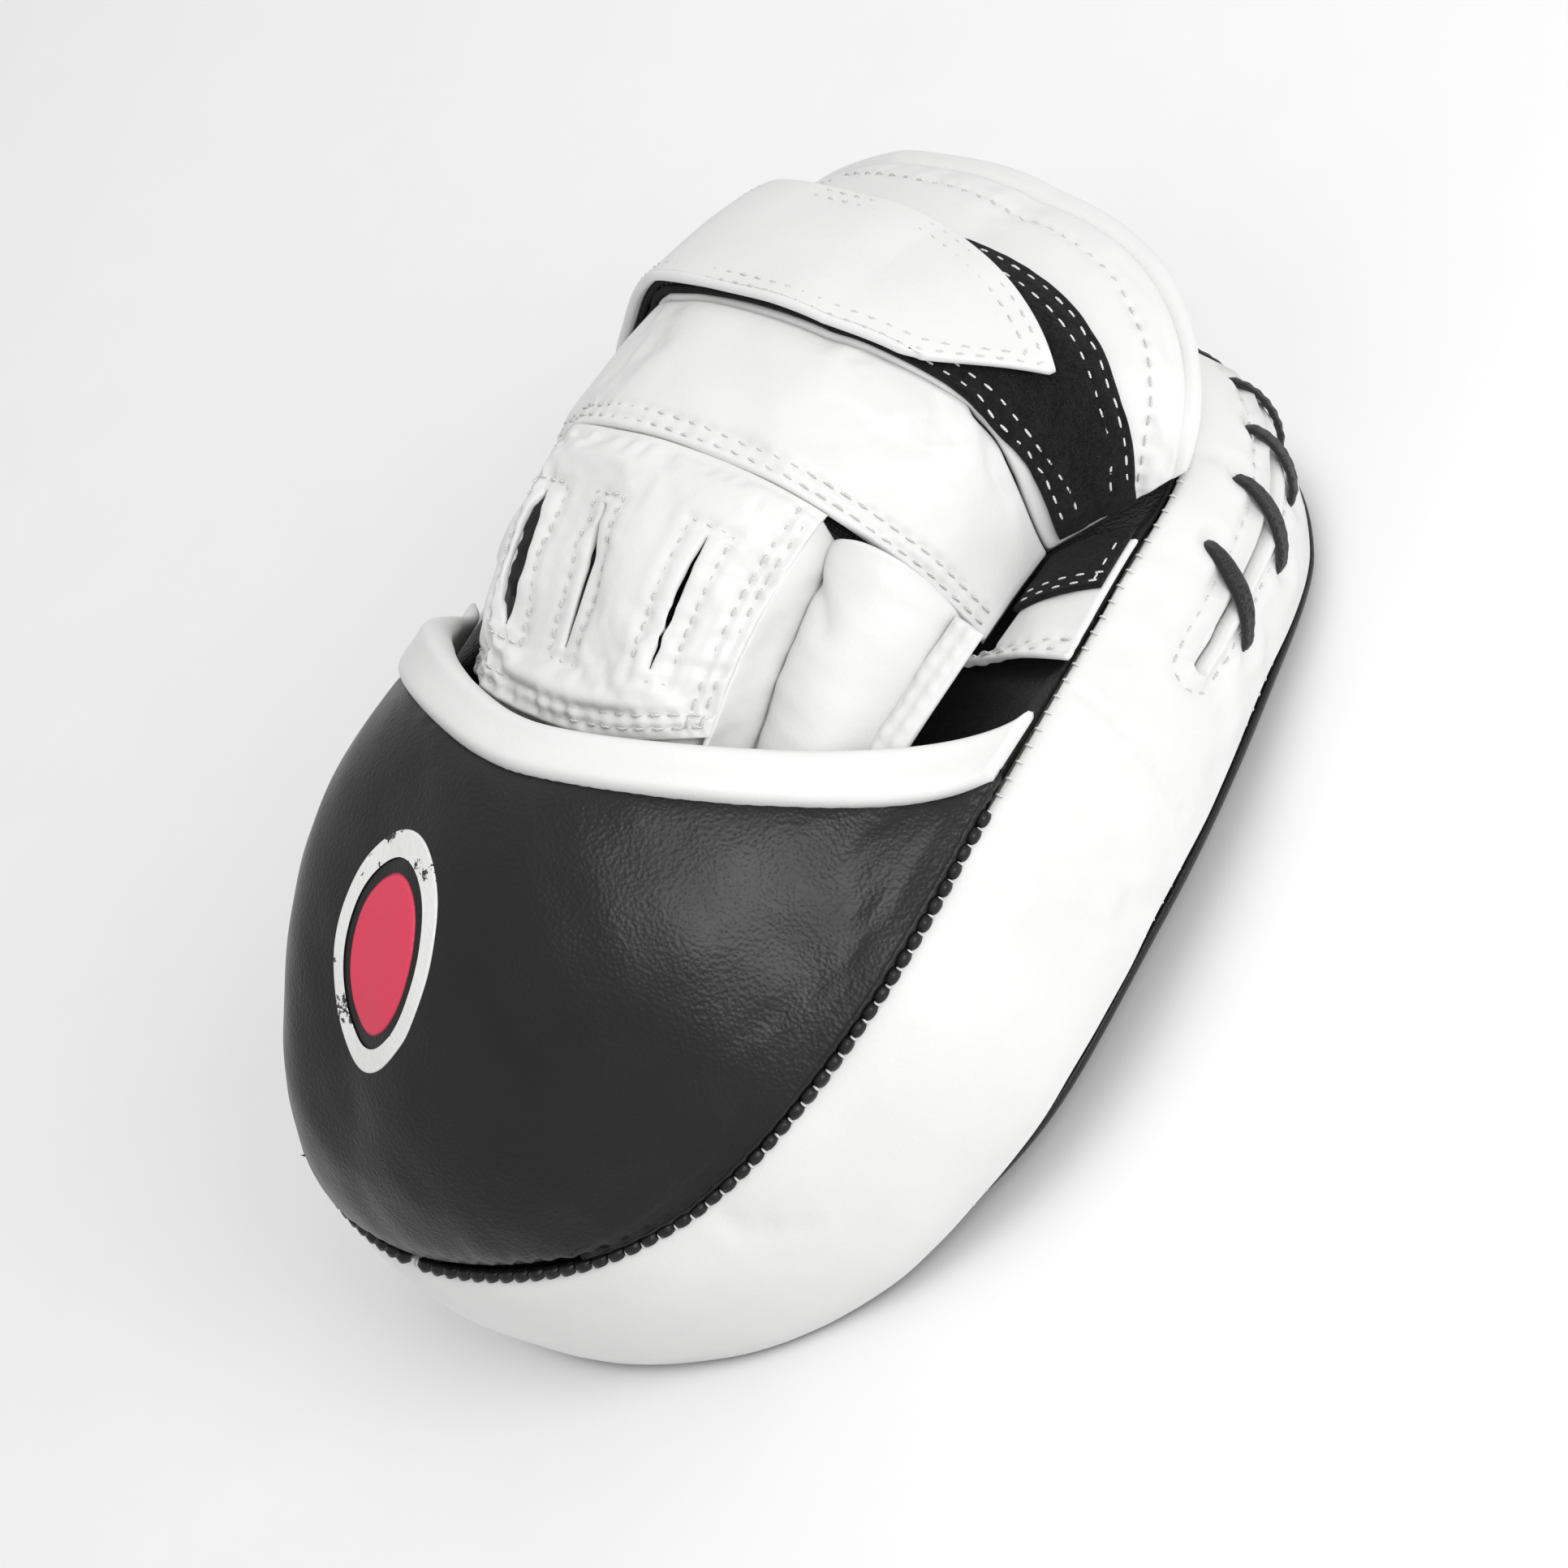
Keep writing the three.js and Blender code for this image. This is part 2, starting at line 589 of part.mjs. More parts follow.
function gripSheet(low) {
  return (turn, r) => {
    const angle = -turn * Math.PI * 2;
    const x = 44 * r * Math.cos(angle);
    const y = 32 + 34 * r * Math.sin(angle);
    const height = low ? 0.4 : 0.6 + GRIP_RISE * Math.max(0, 1 - r * r) ** 0.7;
    return vec(x, y, backZ(y) + height);
  };
}

// share across the shell arch at which it is x away from the crown
function archShare(x) {
  const power = x < 0 ? VENT_FAR_POWER : SHELL_POWER;
  return Math.sign(x) * Math.asin((Math.abs(x) / SHELL_W) ** (power / 2)) / (Math.PI / 2);
}

function addVentPanel() {
  const panel = sheetSolid(ventSurface, [-0.62, 0.6], [0, 1], 0, -1.8, 20, 4);
  const slots = VENT_SLOTS_X.map((x) => {
    const across = [archShare(x - VENT_SLOT_W / 2), archShare(x + VENT_SLOT_W / 2)];
    return sheetSolid(ventSurface, across, [0.22, 0.7], 4, -5, 1, 3);
  });
  const cut = slots.map(toManifold).reduce((solid, tool) => solid.subtract(tool), toManifold(panel));
  add('vent_panel', fromManifold(cut), WHITE);
}

function addInside() {
  FINGERS.forEach((finger, index) => {
    const stall = between(stallSheet(finger, 0), stallSheet(finger, STALL_T), 10, 7);
    add(`finger_stall_${index + 1}`, stall, WHITE);
  });
  add('thumb_stall', between(thumbSheet(0), thumbSheet(STALL_T), 14, 7), WHITE);
  add('palm_grip', between(gripSheet(false), gripSheet(true), 20, 4), BLACK);
}

addPad();
addGusset();
addLace();
addHood();
addShell();
addFlanges();
addStraps();
addVentPanel();
addInside();

export default group;
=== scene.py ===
"""Looks of a curved focus mitt: leather, stitching, tape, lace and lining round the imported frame.

Shapes are worked out in the drawing's own millimetres, the same ones as the CAD, where X is the
thumb side, -Y the fingertip end and Z the back of the hand. metres() puts them in the row frame.
"""

import math

import bmesh
import bpy
import numpy as np
from mathutils import Matrix, Vector
from mathutils.kdtree import KDTree


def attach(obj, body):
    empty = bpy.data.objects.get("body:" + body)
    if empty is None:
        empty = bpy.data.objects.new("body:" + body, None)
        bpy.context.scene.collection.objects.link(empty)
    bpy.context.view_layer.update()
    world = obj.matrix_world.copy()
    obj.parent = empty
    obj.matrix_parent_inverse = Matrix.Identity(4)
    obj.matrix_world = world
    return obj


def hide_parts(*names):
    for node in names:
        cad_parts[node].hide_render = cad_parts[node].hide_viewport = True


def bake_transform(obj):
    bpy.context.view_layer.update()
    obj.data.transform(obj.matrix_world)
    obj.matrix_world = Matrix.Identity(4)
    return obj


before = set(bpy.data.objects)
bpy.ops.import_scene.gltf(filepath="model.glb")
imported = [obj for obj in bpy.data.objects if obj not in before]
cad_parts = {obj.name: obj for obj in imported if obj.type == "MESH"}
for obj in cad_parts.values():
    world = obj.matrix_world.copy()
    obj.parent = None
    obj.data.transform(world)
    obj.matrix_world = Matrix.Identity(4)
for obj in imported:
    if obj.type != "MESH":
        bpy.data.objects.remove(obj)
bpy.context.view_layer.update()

# ---- dimensions shared with the CAD, in millimetres
ORIGIN_Y = 11.068
PAD_DEPTH = 46
CORNER_R = 4
COVER_T = 2.4
GUSSET_T = 3
GAP = 0.5
FOAM_INSET = 7
SHELL_W = 68
SHELL_RISE = 66
SHELL_FRONT_Y = 40.5
SHELL_BASE = 2.4
RIM_W = 84
HOOD_SIDE_SEAM = 4.10
SLIT = (0.305, 0.695)
SLIT_HEIGHT = 0.47
LACE_HEIGHTS = (0.74, 0.24)
FAR_TIP_CUT = 1
HOOD_EDGE_Y = -31.5
OPENING_DIP_U = 0.2
NEAR_PUFF = 6
SHELL_POWERS = (2.7, 1.2)
VENT_POWERS = (2.7, 1.05)
VENT_SLOTS_X = (-20, 1, 22, 46)
FINGERS = ((-26, 23, 12.8, -63), (-5, 36, 15, -75), (17, 36, 15, -79), (39, 33, 14, -71))
STALL_R = 10.4
STALL_MOUTH_Y = -6
THUMB_X, THUMB_Y, THUMB_Z = (50, 62), (-22, 38.5), (9.2, 25)
THUMB_R = ((9, 13), (8, 17))
VENT_FRONT = (-18, 32)
FLANGE_Y = (36, 62)
GRIP_AT, GRIP_R, GRIP_RISE = 32, (44, 34), 14
HOOD_RISE = 59
HOOD_FAR_SWELL = 9
HOOD_CORNER_Y = 15
CREST_Y = 79
CREST_DROP = 15
RIM_RISE = 40
RIM_Y = 131
RIM_DROP = 44
RIM_POWERS = (1.8, 1.2)
BACK_SEAM = [(0, -115.5), (46.5, -104), (72.5, -78.5), (89, -38), (91, 10), (87, 60), (80, 96),
             (60, 120), (0, 127)]
STRIKE_EDGE = [(0, -109), (46, -98.5), (78, -74.5), (102, -37), (104, 12), (94, 65), (79, 104),
               (54, 124), (0, 129)]

# ---- dimensions of the looks alone, in millimetres or in a surface's own parameters
HOOD_V_MM = 110
CUFF_V_MM = 55
LACE_CROSSINGS = 12
PITCH = 4.2
TRACE_STEP = 0.5
CLOTH_FRAMES = 20
FOAM_LAYERS = (("strike", 3.4, 15.8, 1.5), ("core", 16.6, 29.8, 0), ("back", 30.6, 42, 1.5))
VENT_SLOT_V = (0.24, 0.72)
VENT_SLOTS_OPEN = (0.7, 0.8, 0.36, 0.28)
EMBLEM_AT = (0.03, 0.62)
EMBLEM_R = (0.17, 0.21)


def lerp(a, b, share):
    return a + (b - a) * share


def vec(x, y, z):
    return np.stack(np.broadcast_arrays(x, y, z), axis=-1).astype(float)


def unit(v):
    return v / np.maximum(np.linalg.norm(v, axis=-1, keepdims=True), 1e-12)


def smooth(value, low, high):
    share = np.clip((value - low) / (high - low), 0, 1)
    return share * share * (3 - 2 * share)


def metres(points):
    return (points - np.array([0, ORIGIN_Y, 0])) / 1000


# ---- outlines and surfaces
def closed_outline(points):
    """Outline points all the way round; the far side of the fingertip end is cut back a little."""
    far = []
    for x, y in points[-2:0:-1]:
        cut = FAR_TIP_CUT * min(1, max(0, (-60 - y) / 40))
        far.append((cut - x, y + cut))
    return np.array(points + far, float)


BACK = closed_outline(BACK_SEAM)
STRIKE = closed_outline(STRIKE_EDGE)


def on_outline(outline, number):
    """Point of a closed centripetal Catmull-Rom curve, by its number from the fingertip."""
    number = np.mod(np.asarray(number, float), 16)
    i = np.floor(number).astype(int)
    w = (number - i)[..., None]
    p = [outline[(i + k) % 16] for k in (-1, 0, 1, 2)]
    d = [np.sqrt(np.linalg.norm(p[k + 1] - p[k], axis=-1))[..., None] for k in range(3)]
    rise = p[2] - p[1]
    leave = (p[1] - p[0]) / d[0] - (p[2] - p[0]) / (d[0] + d[1]) + rise / d[1]
    reach = rise / d[1] - (p[3] - p[1]) / (d[1] + d[2]) + (p[3] - p[2]) / d[2]
    leave, reach = leave * d[1], reach * d[1]
    return p[1] + w * (leave + w * (3 * rise - 2 * leave - reach + w * (leave + reach - 2 * rise)))


def outline_tangent(outline, t):
    return unit(on_outline(outline, 16 * (t + 1e-4)) - on_outline(outline, 16 * (t - 1e-4)))


def strike_z(y):
    span = np.where(y < -6, 80.0, 106.0)
    along = np.minimum(1, np.abs(y + 6) / span)
    return 9 * (1 - along**2) ** 1.2


def back_z(y):
    return strike_z(y) + PAD_DEPTH


def wall_place(t, share, out):
    """X and Y at a share of the pad's height, moved out from its side, and Y of both edges."""
    low, high = on_outline(STRIKE, 16 * t), on_outline(BACK, 16 * t)
    tangent = outline_tangent(BACK, t)
    x = lerp(low[..., 0], high[..., 0], share) + tangent[..., 1] * out
    y = lerp(low[..., 1], high[..., 1], share) - tangent[..., 0] * out
    return x, y, low[..., 1], high[..., 1]


def gusset(t, v):
    """Side wall of the pad; at the fingertip end it swells out over the edge of the cover."""
    from_tip = np.abs(np.mod(t + 0.5, 1) - 0.5)
    tuck = (1 - smooth(from_tip, 0.12, 0.21)) * np.maximum(0, 1 - v) ** 3
    out = 16 * v * (1 - v) + 1.8 * tuck
    x, y, low, high = wall_place(t, v, out)
    z = lerp(strike_z(low) + CORNER_R + 2 * GAP, back_z(high) - GAP, v)
    return vec(x, y, z - 3.4 * tuck)


def opening_share(u):
    """How far a front edge has come back towards the wrist from its lowest place."""
    away = u - OPENING_DIP_U
    near = np.maximum(0, away / (1 - OPENING_DIP_U)) ** 1.75
    far = np.maximum(0, -away / (1 + OPENING_DIP_U))
    start, full = 0.02**0.65, 1.02**0.65
    return near + ((far * far + 0.02) ** 0.65 - start) / (full - start)


def hood(u, v):
    along = np.maximum(0, v) ** 1.5
    inside = np.minimum(along, 1)
    rise = np.where(v < 1, np.maximum(0, 1 - (1 - np.minimum(v, 1)) ** 2) ** 0.9, 1)
    front = on_outline(BACK, u)
    corner = on_outline(BACK, 1.0)
    side = on_outline(BACK, lerp(1, HOOD_SIDE_SEAM, inside))
    edge_x = on_outline(BACK, HOOD_SIDE_SEAM)[0]
    edge_y = lerp(HOOD_EDGE_Y, HOOD_CORNER_Y, opening_share(u))
    side_x = side[..., 0] - lerp(corner[0], edge_x, inside)
    side_y = side[..., 1] - lerp(corner[1], HOOD_CORNER_Y, inside)
    x = lerp(front[..., 0], edge_x * u, inside) + side_x * u + 12 * rise * (1 - u * u)
    y = lerp(front[..., 1], edge_y, along) + side_y * u * u
    arch = np.maximum(0, 1 - np.abs(u) ** 2.4) ** 1.75
    swell = 4 * HOOD_FAR_SWELL * np.maximum(0, v * (1 - v)) * smooth(-u, 0, 0.4)
    return vec(x, y, back_z(y) + 3.2 + (HOOD_RISE * rise + swell) * arch)


def arch_xz(u, half_width, rise, powers):
    """Arch of two unlike halves, averaged over its crest so that they meet in a round ridge."""
    reach = 0.08 * np.exp(-((u / 0.16) ** 2))
    x, z = 0, 0
    for step in (-1, -0.5, 0, 0.5, 1):
        turn = (u + step * reach) * np.pi / 2
        shape = 2 / np.where(turn < 0, powers[1], powers[0])
        x = x + np.sign(turn) * np.abs(np.sin(turn)) ** shape / 5
        z = z + np.maximum(0, np.cos(turn)) ** shape / 5
    return half_width * x, rise * z


def shell(u, y):
    x, z = arch_xz(u, SHELL_W, SHELL_RISE, SHELL_POWERS)
    return vec(x, y, back_z(y) + SHELL_BASE + z)


def crest_y(u):
    bow = 5 * smooth(u, -0.7, 0.1) * (1 - np.maximum(u, 0) ** 3)
    return CREST_Y - CREST_DROP * np.abs(u) ** 3 - bow


def rim_curve(u):
    x, z = arch_xz(u, RIM_W, RIM_RISE, RIM_POWERS)
    y = RIM_Y - RIM_DROP * np.abs(x / RIM_W) ** 4.2
    return vec(x, y, back_z(y) + SHELL_BASE + z)


def near_puff(u, amount):
    swell = amount * np.sin(np.pi * np.clip((u - 0.35) / 0.65, 0, 1)) ** 1.2
    return vec(swell, 0.45 * swell, -0.1 * swell)


def cuff(u, v):
    bulge = 3 * np.sin(np.pi * np.clip(v, 0, 1)) * np.cos(u * np.pi / 2)
    point = lerp(shell(u, crest_y(u)), rim_curve(u), np.asarray(v)[..., None])
    point = point + vec(0 * bulge, 0.6 * bulge, 0.8 * bulge)
    return point + near_puff(u, NEAR_PUFF + 8 * v * (1 - 0.7 * v))


def glove(u, w):
    """Hand shell and cuff as one surface: w is 0 to 1 on the knuckle band, 1 to 2 on the cuff."""
    band = shell(u, lerp(SHELL_FRONT_Y, crest_y(u), np.minimum(w, 1)))
    band = band + near_puff(u, NEAR_PUFF * np.clip(w, 0, 1) ** 2)
    return np.where(np.asarray(w)[..., None] < 1, band, cuff(u, w - 1))


def vent(u, v):
    y = lerp(VENT_FRONT[0] + VENT_FRONT[1] * opening_share(u), SHELL_FRONT_Y - 2 * GAP, v)
    drop = (SHELL_FRONT_Y - y) / 70
    x, z = arch_xz(u, SHELL_W - 8 * drop, SHELL_RISE - 27 * drop * drop, VENT_POWERS)
    return vec(x, y, back_z(y) + SHELL_BASE + z)


def flange(a, b):
    tuck = 8 * np.clip(1 - b / 0.16, 0, 1)
    inner = vec(SHELL_W + 1.2 - tuck, lerp(*FLANGE_Y, b), 0)
    outer = on_outline(BACK, lerp(4.62, 5.32, b))
    x, y = lerp(inner[..., 0], outer[..., 0], a), lerp(inner[..., 1], outer[..., 1], a)
    return vec(x, y, back_z(y) + 2.4 + 1.5 * np.sin(np.pi * np.clip(a, 0, 1)))


def mirrored(surface):
    return lambda a, b: surface(1 - a, b) * np.array([-1, 1, 1])


def pad_outline(t, height, inset):
    return np.stack(wall_place(t, height / PAD_DEPTH, -inset)[:2], axis=-1)


def pad_level(low, high, inset):
    """Middle surface of a flat layer of the pad, seen from the back of the hand."""
    middle = (low + high) / 2

    def surface(t, r):
        flat = pad_outline(-t, middle, inset) * np.asarray(r)[..., None]
        return vec(flat[..., 0], flat[..., 1], strike_z(flat[..., 1]) + middle)

    return surface


def strike_cover(t, r):
    turn = np.maximum(0, (r - 0.75) / 0.25) * np.pi / 2
    inner, outer = pad_outline(t, 0, CORNER_R), pad_outline(t, 0, 0)
    flat = inner * np.minimum(1, r / 0.75)[..., None]
    flat = flat + unit(outer - inner) * (CORNER_R * np.sin(turn))[..., None]
    rest = strike_z(flat[..., 1]) + CORNER_R - CORNER_R * np.cos(turn)
    return vec(flat[..., 0], flat[..., 1], rest)


def finger_stall(finger):
    x0, mouth, tip, tip_y = finger

    def surface(turn, length):
        y = lerp(tip_y, STALL_MOUTH_Y, length)
        tight = np.sqrt(1 - (1 - np.minimum(1, length * 5)) ** 2)
        radius = STALL_R * lerp(0.85, 1, length) * tight
        angle = -turn * 2 * np.pi
        x = x0 * lerp(0.9, 1, length) + radius * np.cos(angle)
        return vec(x, y, back_z(y) + lerp(tip, mouth, length) + radius * np.sin(angle))

    return surface


def thumb(turn, length):
    y = lerp(*THUMB_Y, length)
    tight = np.sqrt(1 - (1 - np.minimum(1, length * 4)) ** 2)
    angle = -turn * 2 * np.pi
    x = lerp(*THUMB_X, length) + lerp(*THUMB_R[0], length) * tight * np.cos(angle)
    rise = lerp(*THUMB_R[1], length) * tight * np.sin(angle)
    return vec(x, y, back_z(y) + lerp(*THUMB_Z, length) + rise)


def thumb_web(a, b):
    """Leather from under the edge of the vent panel down to the seam of the thumb stall."""
    start = vent(np.full_like(a, 0.57), lerp(-0.02, 1, b)) - np.array([0, 0, 2.2])
    end = thumb(np.full_like(a, 0.64), lerp(0.12, 1, b)) + np.array([0, 0, 0.4])
    sag = 3.0 * np.sin(np.pi * a) * (1 - 0.6 * b)
    return lerp(start, end, a[..., None]) - vec(0 * sag, 0 * sag, sag)


def thumb_edge(a, b):
    """Raw seam allowance that stands out from the side of the thumb stall."""
    length = lerp(0.16, 0.99, a)
    root = thumb(np.full_like(a, 0.06), length)
    out = unit(thumb(np.full_like(a, 0.06), length + 1e-3) - root)
    side = unit(np.cross(out, vec(0, 0, 1)))
    return root + side * (7.5 * b)[..., None] - vec(0, 0, 1) * (2.2 * b * b)[..., None]


def grip_depth(turn, r):
    return -GRIP_RISE * np.maximum(0, 1 - r * r) ** 0.7


def grip(turn, r):
    angle = turn * 2 * np.pi
    x, y = GRIP_R[0] * r * np.cos(angle), GRIP_AT + GRIP_R[1] * r * np.sin(angle)
    return vec(x, y, back_z(y) + 0.6 - grip_depth(turn, r))


def strap_sheet(inset):
    def surface(a, b):
        u = lerp(-0.96, 0.68 - inset, a)
        bottom = lerp(-0.03, 0.31, np.clip((u - 0.5) / 0.18, 0, 1) ** 1.6) + inset * 0.4
        top = lerp(0.56, 0.34, np.clip((u - 0.36) / 0.32, 0, 1)) - inset * 0.4
        return cuff(u, lerp(bottom, top, b))

    return surface


def tape_sheet(a, b):
    """Loop tape round the cuff; its near end climbs a little towards the rim."""
    u = lerp(-0.62, 0.985, a)
    return GLOVE(u, lerp(0.01, 0.605, b) + 0.1 * smooth(u, 0.7, 0.95) + 1)


def normals(surface, a, b):
    step = 1e-3
    along_a = surface(a + step, b) - surface(a - step, b)
    along_b = surface(a, b + step) - surface(a, b - step)
    return unit(np.cross(along_a, along_b))


# ---- meshes
def add_mesh(name, points, faces, material, pinch=False):
    mesh = bpy.data.meshes.new(name)
    mesh.from_pydata(metres(points).tolist(), [], faces.tolist())
    mesh.polygons.foreach_set("use_smooth", np.ones(len(mesh.polygons), bool))
    if pinch:
        shape = bmesh.new()
        shape.from_mesh(mesh)
        bmesh.ops.remove_doubles(shape, verts=shape.verts, dist=1e-6)
        shape.to_mesh(mesh)
        shape.free()
    mesh.materials.append(material)
    obj = bpy.data.objects.new(name, mesh)
    bpy.context.scene.collection.objects.link(obj)
    return obj


def lines(low, high, count, crowd=0.5, stops=(), fine=0.0):
    """Parameter lines from low to high, closer at the ends and on both sides of each stop."""
    x = np.linspace(0, 1, count + 1)
    at = lerp(low, high, x - crowd * np.sin(2 * np.pi * x) / (2 * np.pi))
    for stop in (low, high, *stops):
        near = stop + fine * np.array([-1, -0.5, -0.2, -0.05, 0, 0.05, 0.2, 0.5, 1])
        if fine or stop not in (low, high):
            at = at[np.abs(at - stop) > fine]
            at = np.concatenate([at, near[(near >= low) & (near <= high)]])
    return np.unique(np.round(at, 9))


def even(count):
    return lines(0, 1, count, crowd=0)


def run_lengths(points, axis, far_end_only=False):
    """How far each grid point is from the nearer end, or the far end, of its own grid line."""
    steps = np.linalg.norm(np.diff(points, axis=axis), axis=-1)
    total = np.concatenate([np.zeros_like(steps.take([0], axis)), np.cumsum(steps, axis)], axis)
    rest = total.take([-1], axis) - total
    return rest if far_end_only else np.minimum(total, rest)


def cut_distance(surface, a, b, cut):
    """How far grid points are outside a hole that spans cut = (a0, a1, b0, b1)."""
    step = 1e-3
    per_a = np.linalg.norm(surface(a + step, b) - surface(a - step, b), axis=-1) / (2 * step)
    per_b = np.linalg.norm(surface(a, b + step) - surface(a, b - step), axis=-1) / (2 * step)
    out_a = np.maximum(np.maximum(cut[0] - a, a - cut[1]), 0) * per_a
    out_b = np.maximum(np.maximum(cut[2] - b, b - cut[3]), 0) * per_b
    return np.hypot(out_a, out_b)


def quads(grid, keep=slice(None), way=1):
    """Faces between neighbours in a grid of point numbers; way is -1 to turn them over."""
    corners = (grid[:-1, :-1], grid[1:, :-1], grid[1:, 1:], grid[:-1, 1:])
    return np.stack([corner[keep] for corner in corners[::way]], axis=-1)


def inside_cut(a, b, cut):
    return (a > cut[0]) & (a < cut[1]) & (b > cut[2]) & (b < cut[3])


def leaf(name, surface, across, along, top, bottom, material, reliefs=(), edge=None, cuts=(),
         closed=False, warp=None):
    """Closed sheet over a surface, with rounded borders; the sum of the reliefs raises its top."""
    a, b = np.meshgrid(across, along, indexing="ij")
    place = surface if warp is None else (lambda p, q: surface(*warp(p, q)))
    points, out = place(a, b), normals(place, a, b)
    high = top(a, b) if callable(top) else np.full(a.shape, float(top))
    low = bottom(a, b) if callable(bottom) else np.full(a.shape, float(bottom))
    pinch = closed and along[0] == 0
    border = run_lengths(points, 1, pinch)
    if not closed:
        border = np.minimum(border, run_lengths(points, 0))
    for cut in cuts:
        border = np.minimum(border, cut_distance(surface, a, b, cut))
    radius = (high - low) / 2 if edge is None else edge
    full = np.sqrt(1 - (1 - np.clip(border / radius, 0, 1)) ** 2)
    middle = (high + low) / 2
    raised = sum(relief(points, border) for relief in reliefs)
    sunk = np.minimum(raised, 0)
    upper = points + out * (middle + (high - middle) * full + raised * full)[..., None]
    lower = points + out * (middle + (low - middle) * full + sunk * full)[..., None]
    index = np.arange(a.size).reshape(a.shape)
    under = np.where(border < 1e-6, index, index + a.size)
    if closed:
        index[-1], under[-1] = index[0], under[0]
    keep = np.ones((a.shape[0] - 1, a.shape[1] - 1), bool)
    for cut in cuts:
        keep &= ~inside_cut((a[1:, 1:] + a[:-1, :-1]) / 2, (b[1:, 1:] + b[:-1, :-1]) / 2, cut)
    faces = np.concatenate([quads(index, keep), quads(under, keep, -1)])
    used, faces = np.unique(faces, return_inverse=True)
    cloud = np.concatenate([upper.reshape(-1, 3), lower.reshape(-1, 3)])[used]
    return add_mesh(name, cloud, faces.reshape(-1, 4), material, pinch)


# ---- cloth simulation
def grid_field(values, across, along):
    """Smooth function through a grid of vectors, flat beyond its borders."""
    counts = np.array(values.shape[:2]) - 1

    def taps(x, count):
        i = np.clip(np.floor(x).astype(int), 0, count - 1)
        f = x - i
        weights = (
            ((2 - f) * f - 1) * f / 2,
            ((3 * f - 5) * f * f + 2) / 2,
            ((4 - 3 * f) * f + 1) * f / 2,
            (f - 1) * f * f / 2,
        )
        return [(np.clip(i + k - 1, 0, count), w[..., None]) for k, w in enumerate(weights)]

    def at(a, b):
        x = np.clip((a - across[0]) / (across[1] - across[0]), 0, 1) * counts[0]
        y = np.clip((b - along[0]) / (along[1] - along[0]), 0, 1) * counts[1]
        x, y = np.broadcast_arrays(x, y)
        return sum(
            wi * wj * values[i, j] for i, wi in taps(x, counts[0]) for j, wj in taps(y, counts[1])
        )

    return at


def add_cloth(obj, pressure):
    """Weightless cloth that is blown up a little."""
    cloth = obj.modifiers.new("cloth", "CLOTH").settings
    cloth.use_pressure = True
    cloth.uniform_pressure_force = pressure
    cloth.effector_weights.gravity = 0
    return cloth


def run_cloth():
    for step in range(1, CLOTH_FRAMES + 1):
        bpy.context.scene.frame_set(step)


def capped(shift, cap):
    size = np.linalg.norm(shift, axis=-1, keepdims=True)
    return shift * np.minimum(1, cap / np.maximum(size, 1e-9))


def settled(surface, across, along, counts, pressure, slack, cap, closed=False):
    """The surface after cloth pinned along its borders has filled out and wrinkled."""
    a, b = np.meshgrid(np.linspace(*across, counts[0] + 1), np.linspace(*along, counts[1] + 1),
                       indexing="ij")
    rest = surface(a, b)
    index = np.arange(a.size).reshape(a.shape)
    held = np.zeros(a.shape, bool)
    held[:, [0, -1]] = True
    if closed:
        index[-1] = index[0]
    else:
        held[[0, -1]] = True
    obj = add_mesh("settling", rest.reshape(-1, 3), quads(index).reshape(-1, 4), WORK_MATERIAL)
    obj.vertex_groups.new(name="pins").add(index[held].tolist(), 1.0, "REPLACE")
    cloth = add_cloth(obj, pressure)
    cloth.vertex_group_mass = "pins"
    cloth.shrink_min = -slack
    cloth.quality = 6
    cloth.bending_stiffness = 0.3
    run_cloth()
    result = obj.evaluated_get(bpy.context.evaluated_depsgraph_get()).to_mesh()
    moved = np.zeros(len(result.vertices) * 3, np.float32)
    result.vertices.foreach_get("co", moved)
    shift = (moved.reshape(-1, 3)[index] - metres(rest)) * 1000
    bpy.data.objects.remove(obj)
    bpy.context.scene.frame_set(1)
    field = grid_field(capped(shift, cap), across, along)
    return lambda p, q: surface(p, q) + field(p, q)


def corners_of(obj):
    return np.array([v.co for v in obj.data.vertices])


def inflate(obj, cap):
    """Pressure cloth on a remeshed solid, its movement capped, then one subdivision."""
    remesh = obj.modifiers.new("remesh", "REMESH")
    remesh.mode = "VOXEL"
    remesh.voxel_size = 0.0045
    apply_modifiers(obj)
    rest = corners_of(obj)
    add_cloth(obj, 4)
    run_cloth()
    apply_modifiers(obj)
    bpy.context.scene.frame_set(1)
    moved = rest + capped(corners_of(obj) - rest, cap / 1000)
    obj.data.vertices.foreach_set("co", moved.astype(np.float32).ravel())
    obj.modifiers.new("smooth", "SUBSURF").levels = 1
    apply_modifiers(obj)
    obj.data.polygons.foreach_set("use_smooth", np.ones(len(obj.data.polygons), bool))


def apply_modifiers(obj):
    evaluated = obj.evaluated_get(bpy.context.evaluated_depsgraph_get())
    mesh = bpy.data.meshes.new_from_object(evaluated)
    obj.modifiers.clear()
    obj.data = mesh


# ---- stitching
def resampled(step, points, *more):
    """Even places along a line, its points there, and the other values that go with them."""
    run = np.concatenate([[0], np.cumsum(np.linalg.norm(np.diff(points, axis=0), axis=1))])
    at = np.arange(0, run[-1], step)
    sets = [[np.interp(at, run, column) for column in x.T] for x in (points, *more)]
    return at, *(np.stack(columns, axis=-1) for columns in sets)


def trace(surface, a, b, lift=0.0):
    """A line on a surface as evenly spaced points with their normals and places along it."""
    a, b = np.broadcast_arrays(np.asarray(a, float), np.asarray(b, float))
    out = normals(surface, a, b)
    at, points, out = resampled(TRACE_STEP, surface(a, b) + out * lift, out)
    return {"points": points, "normals": unit(out), "along": at}


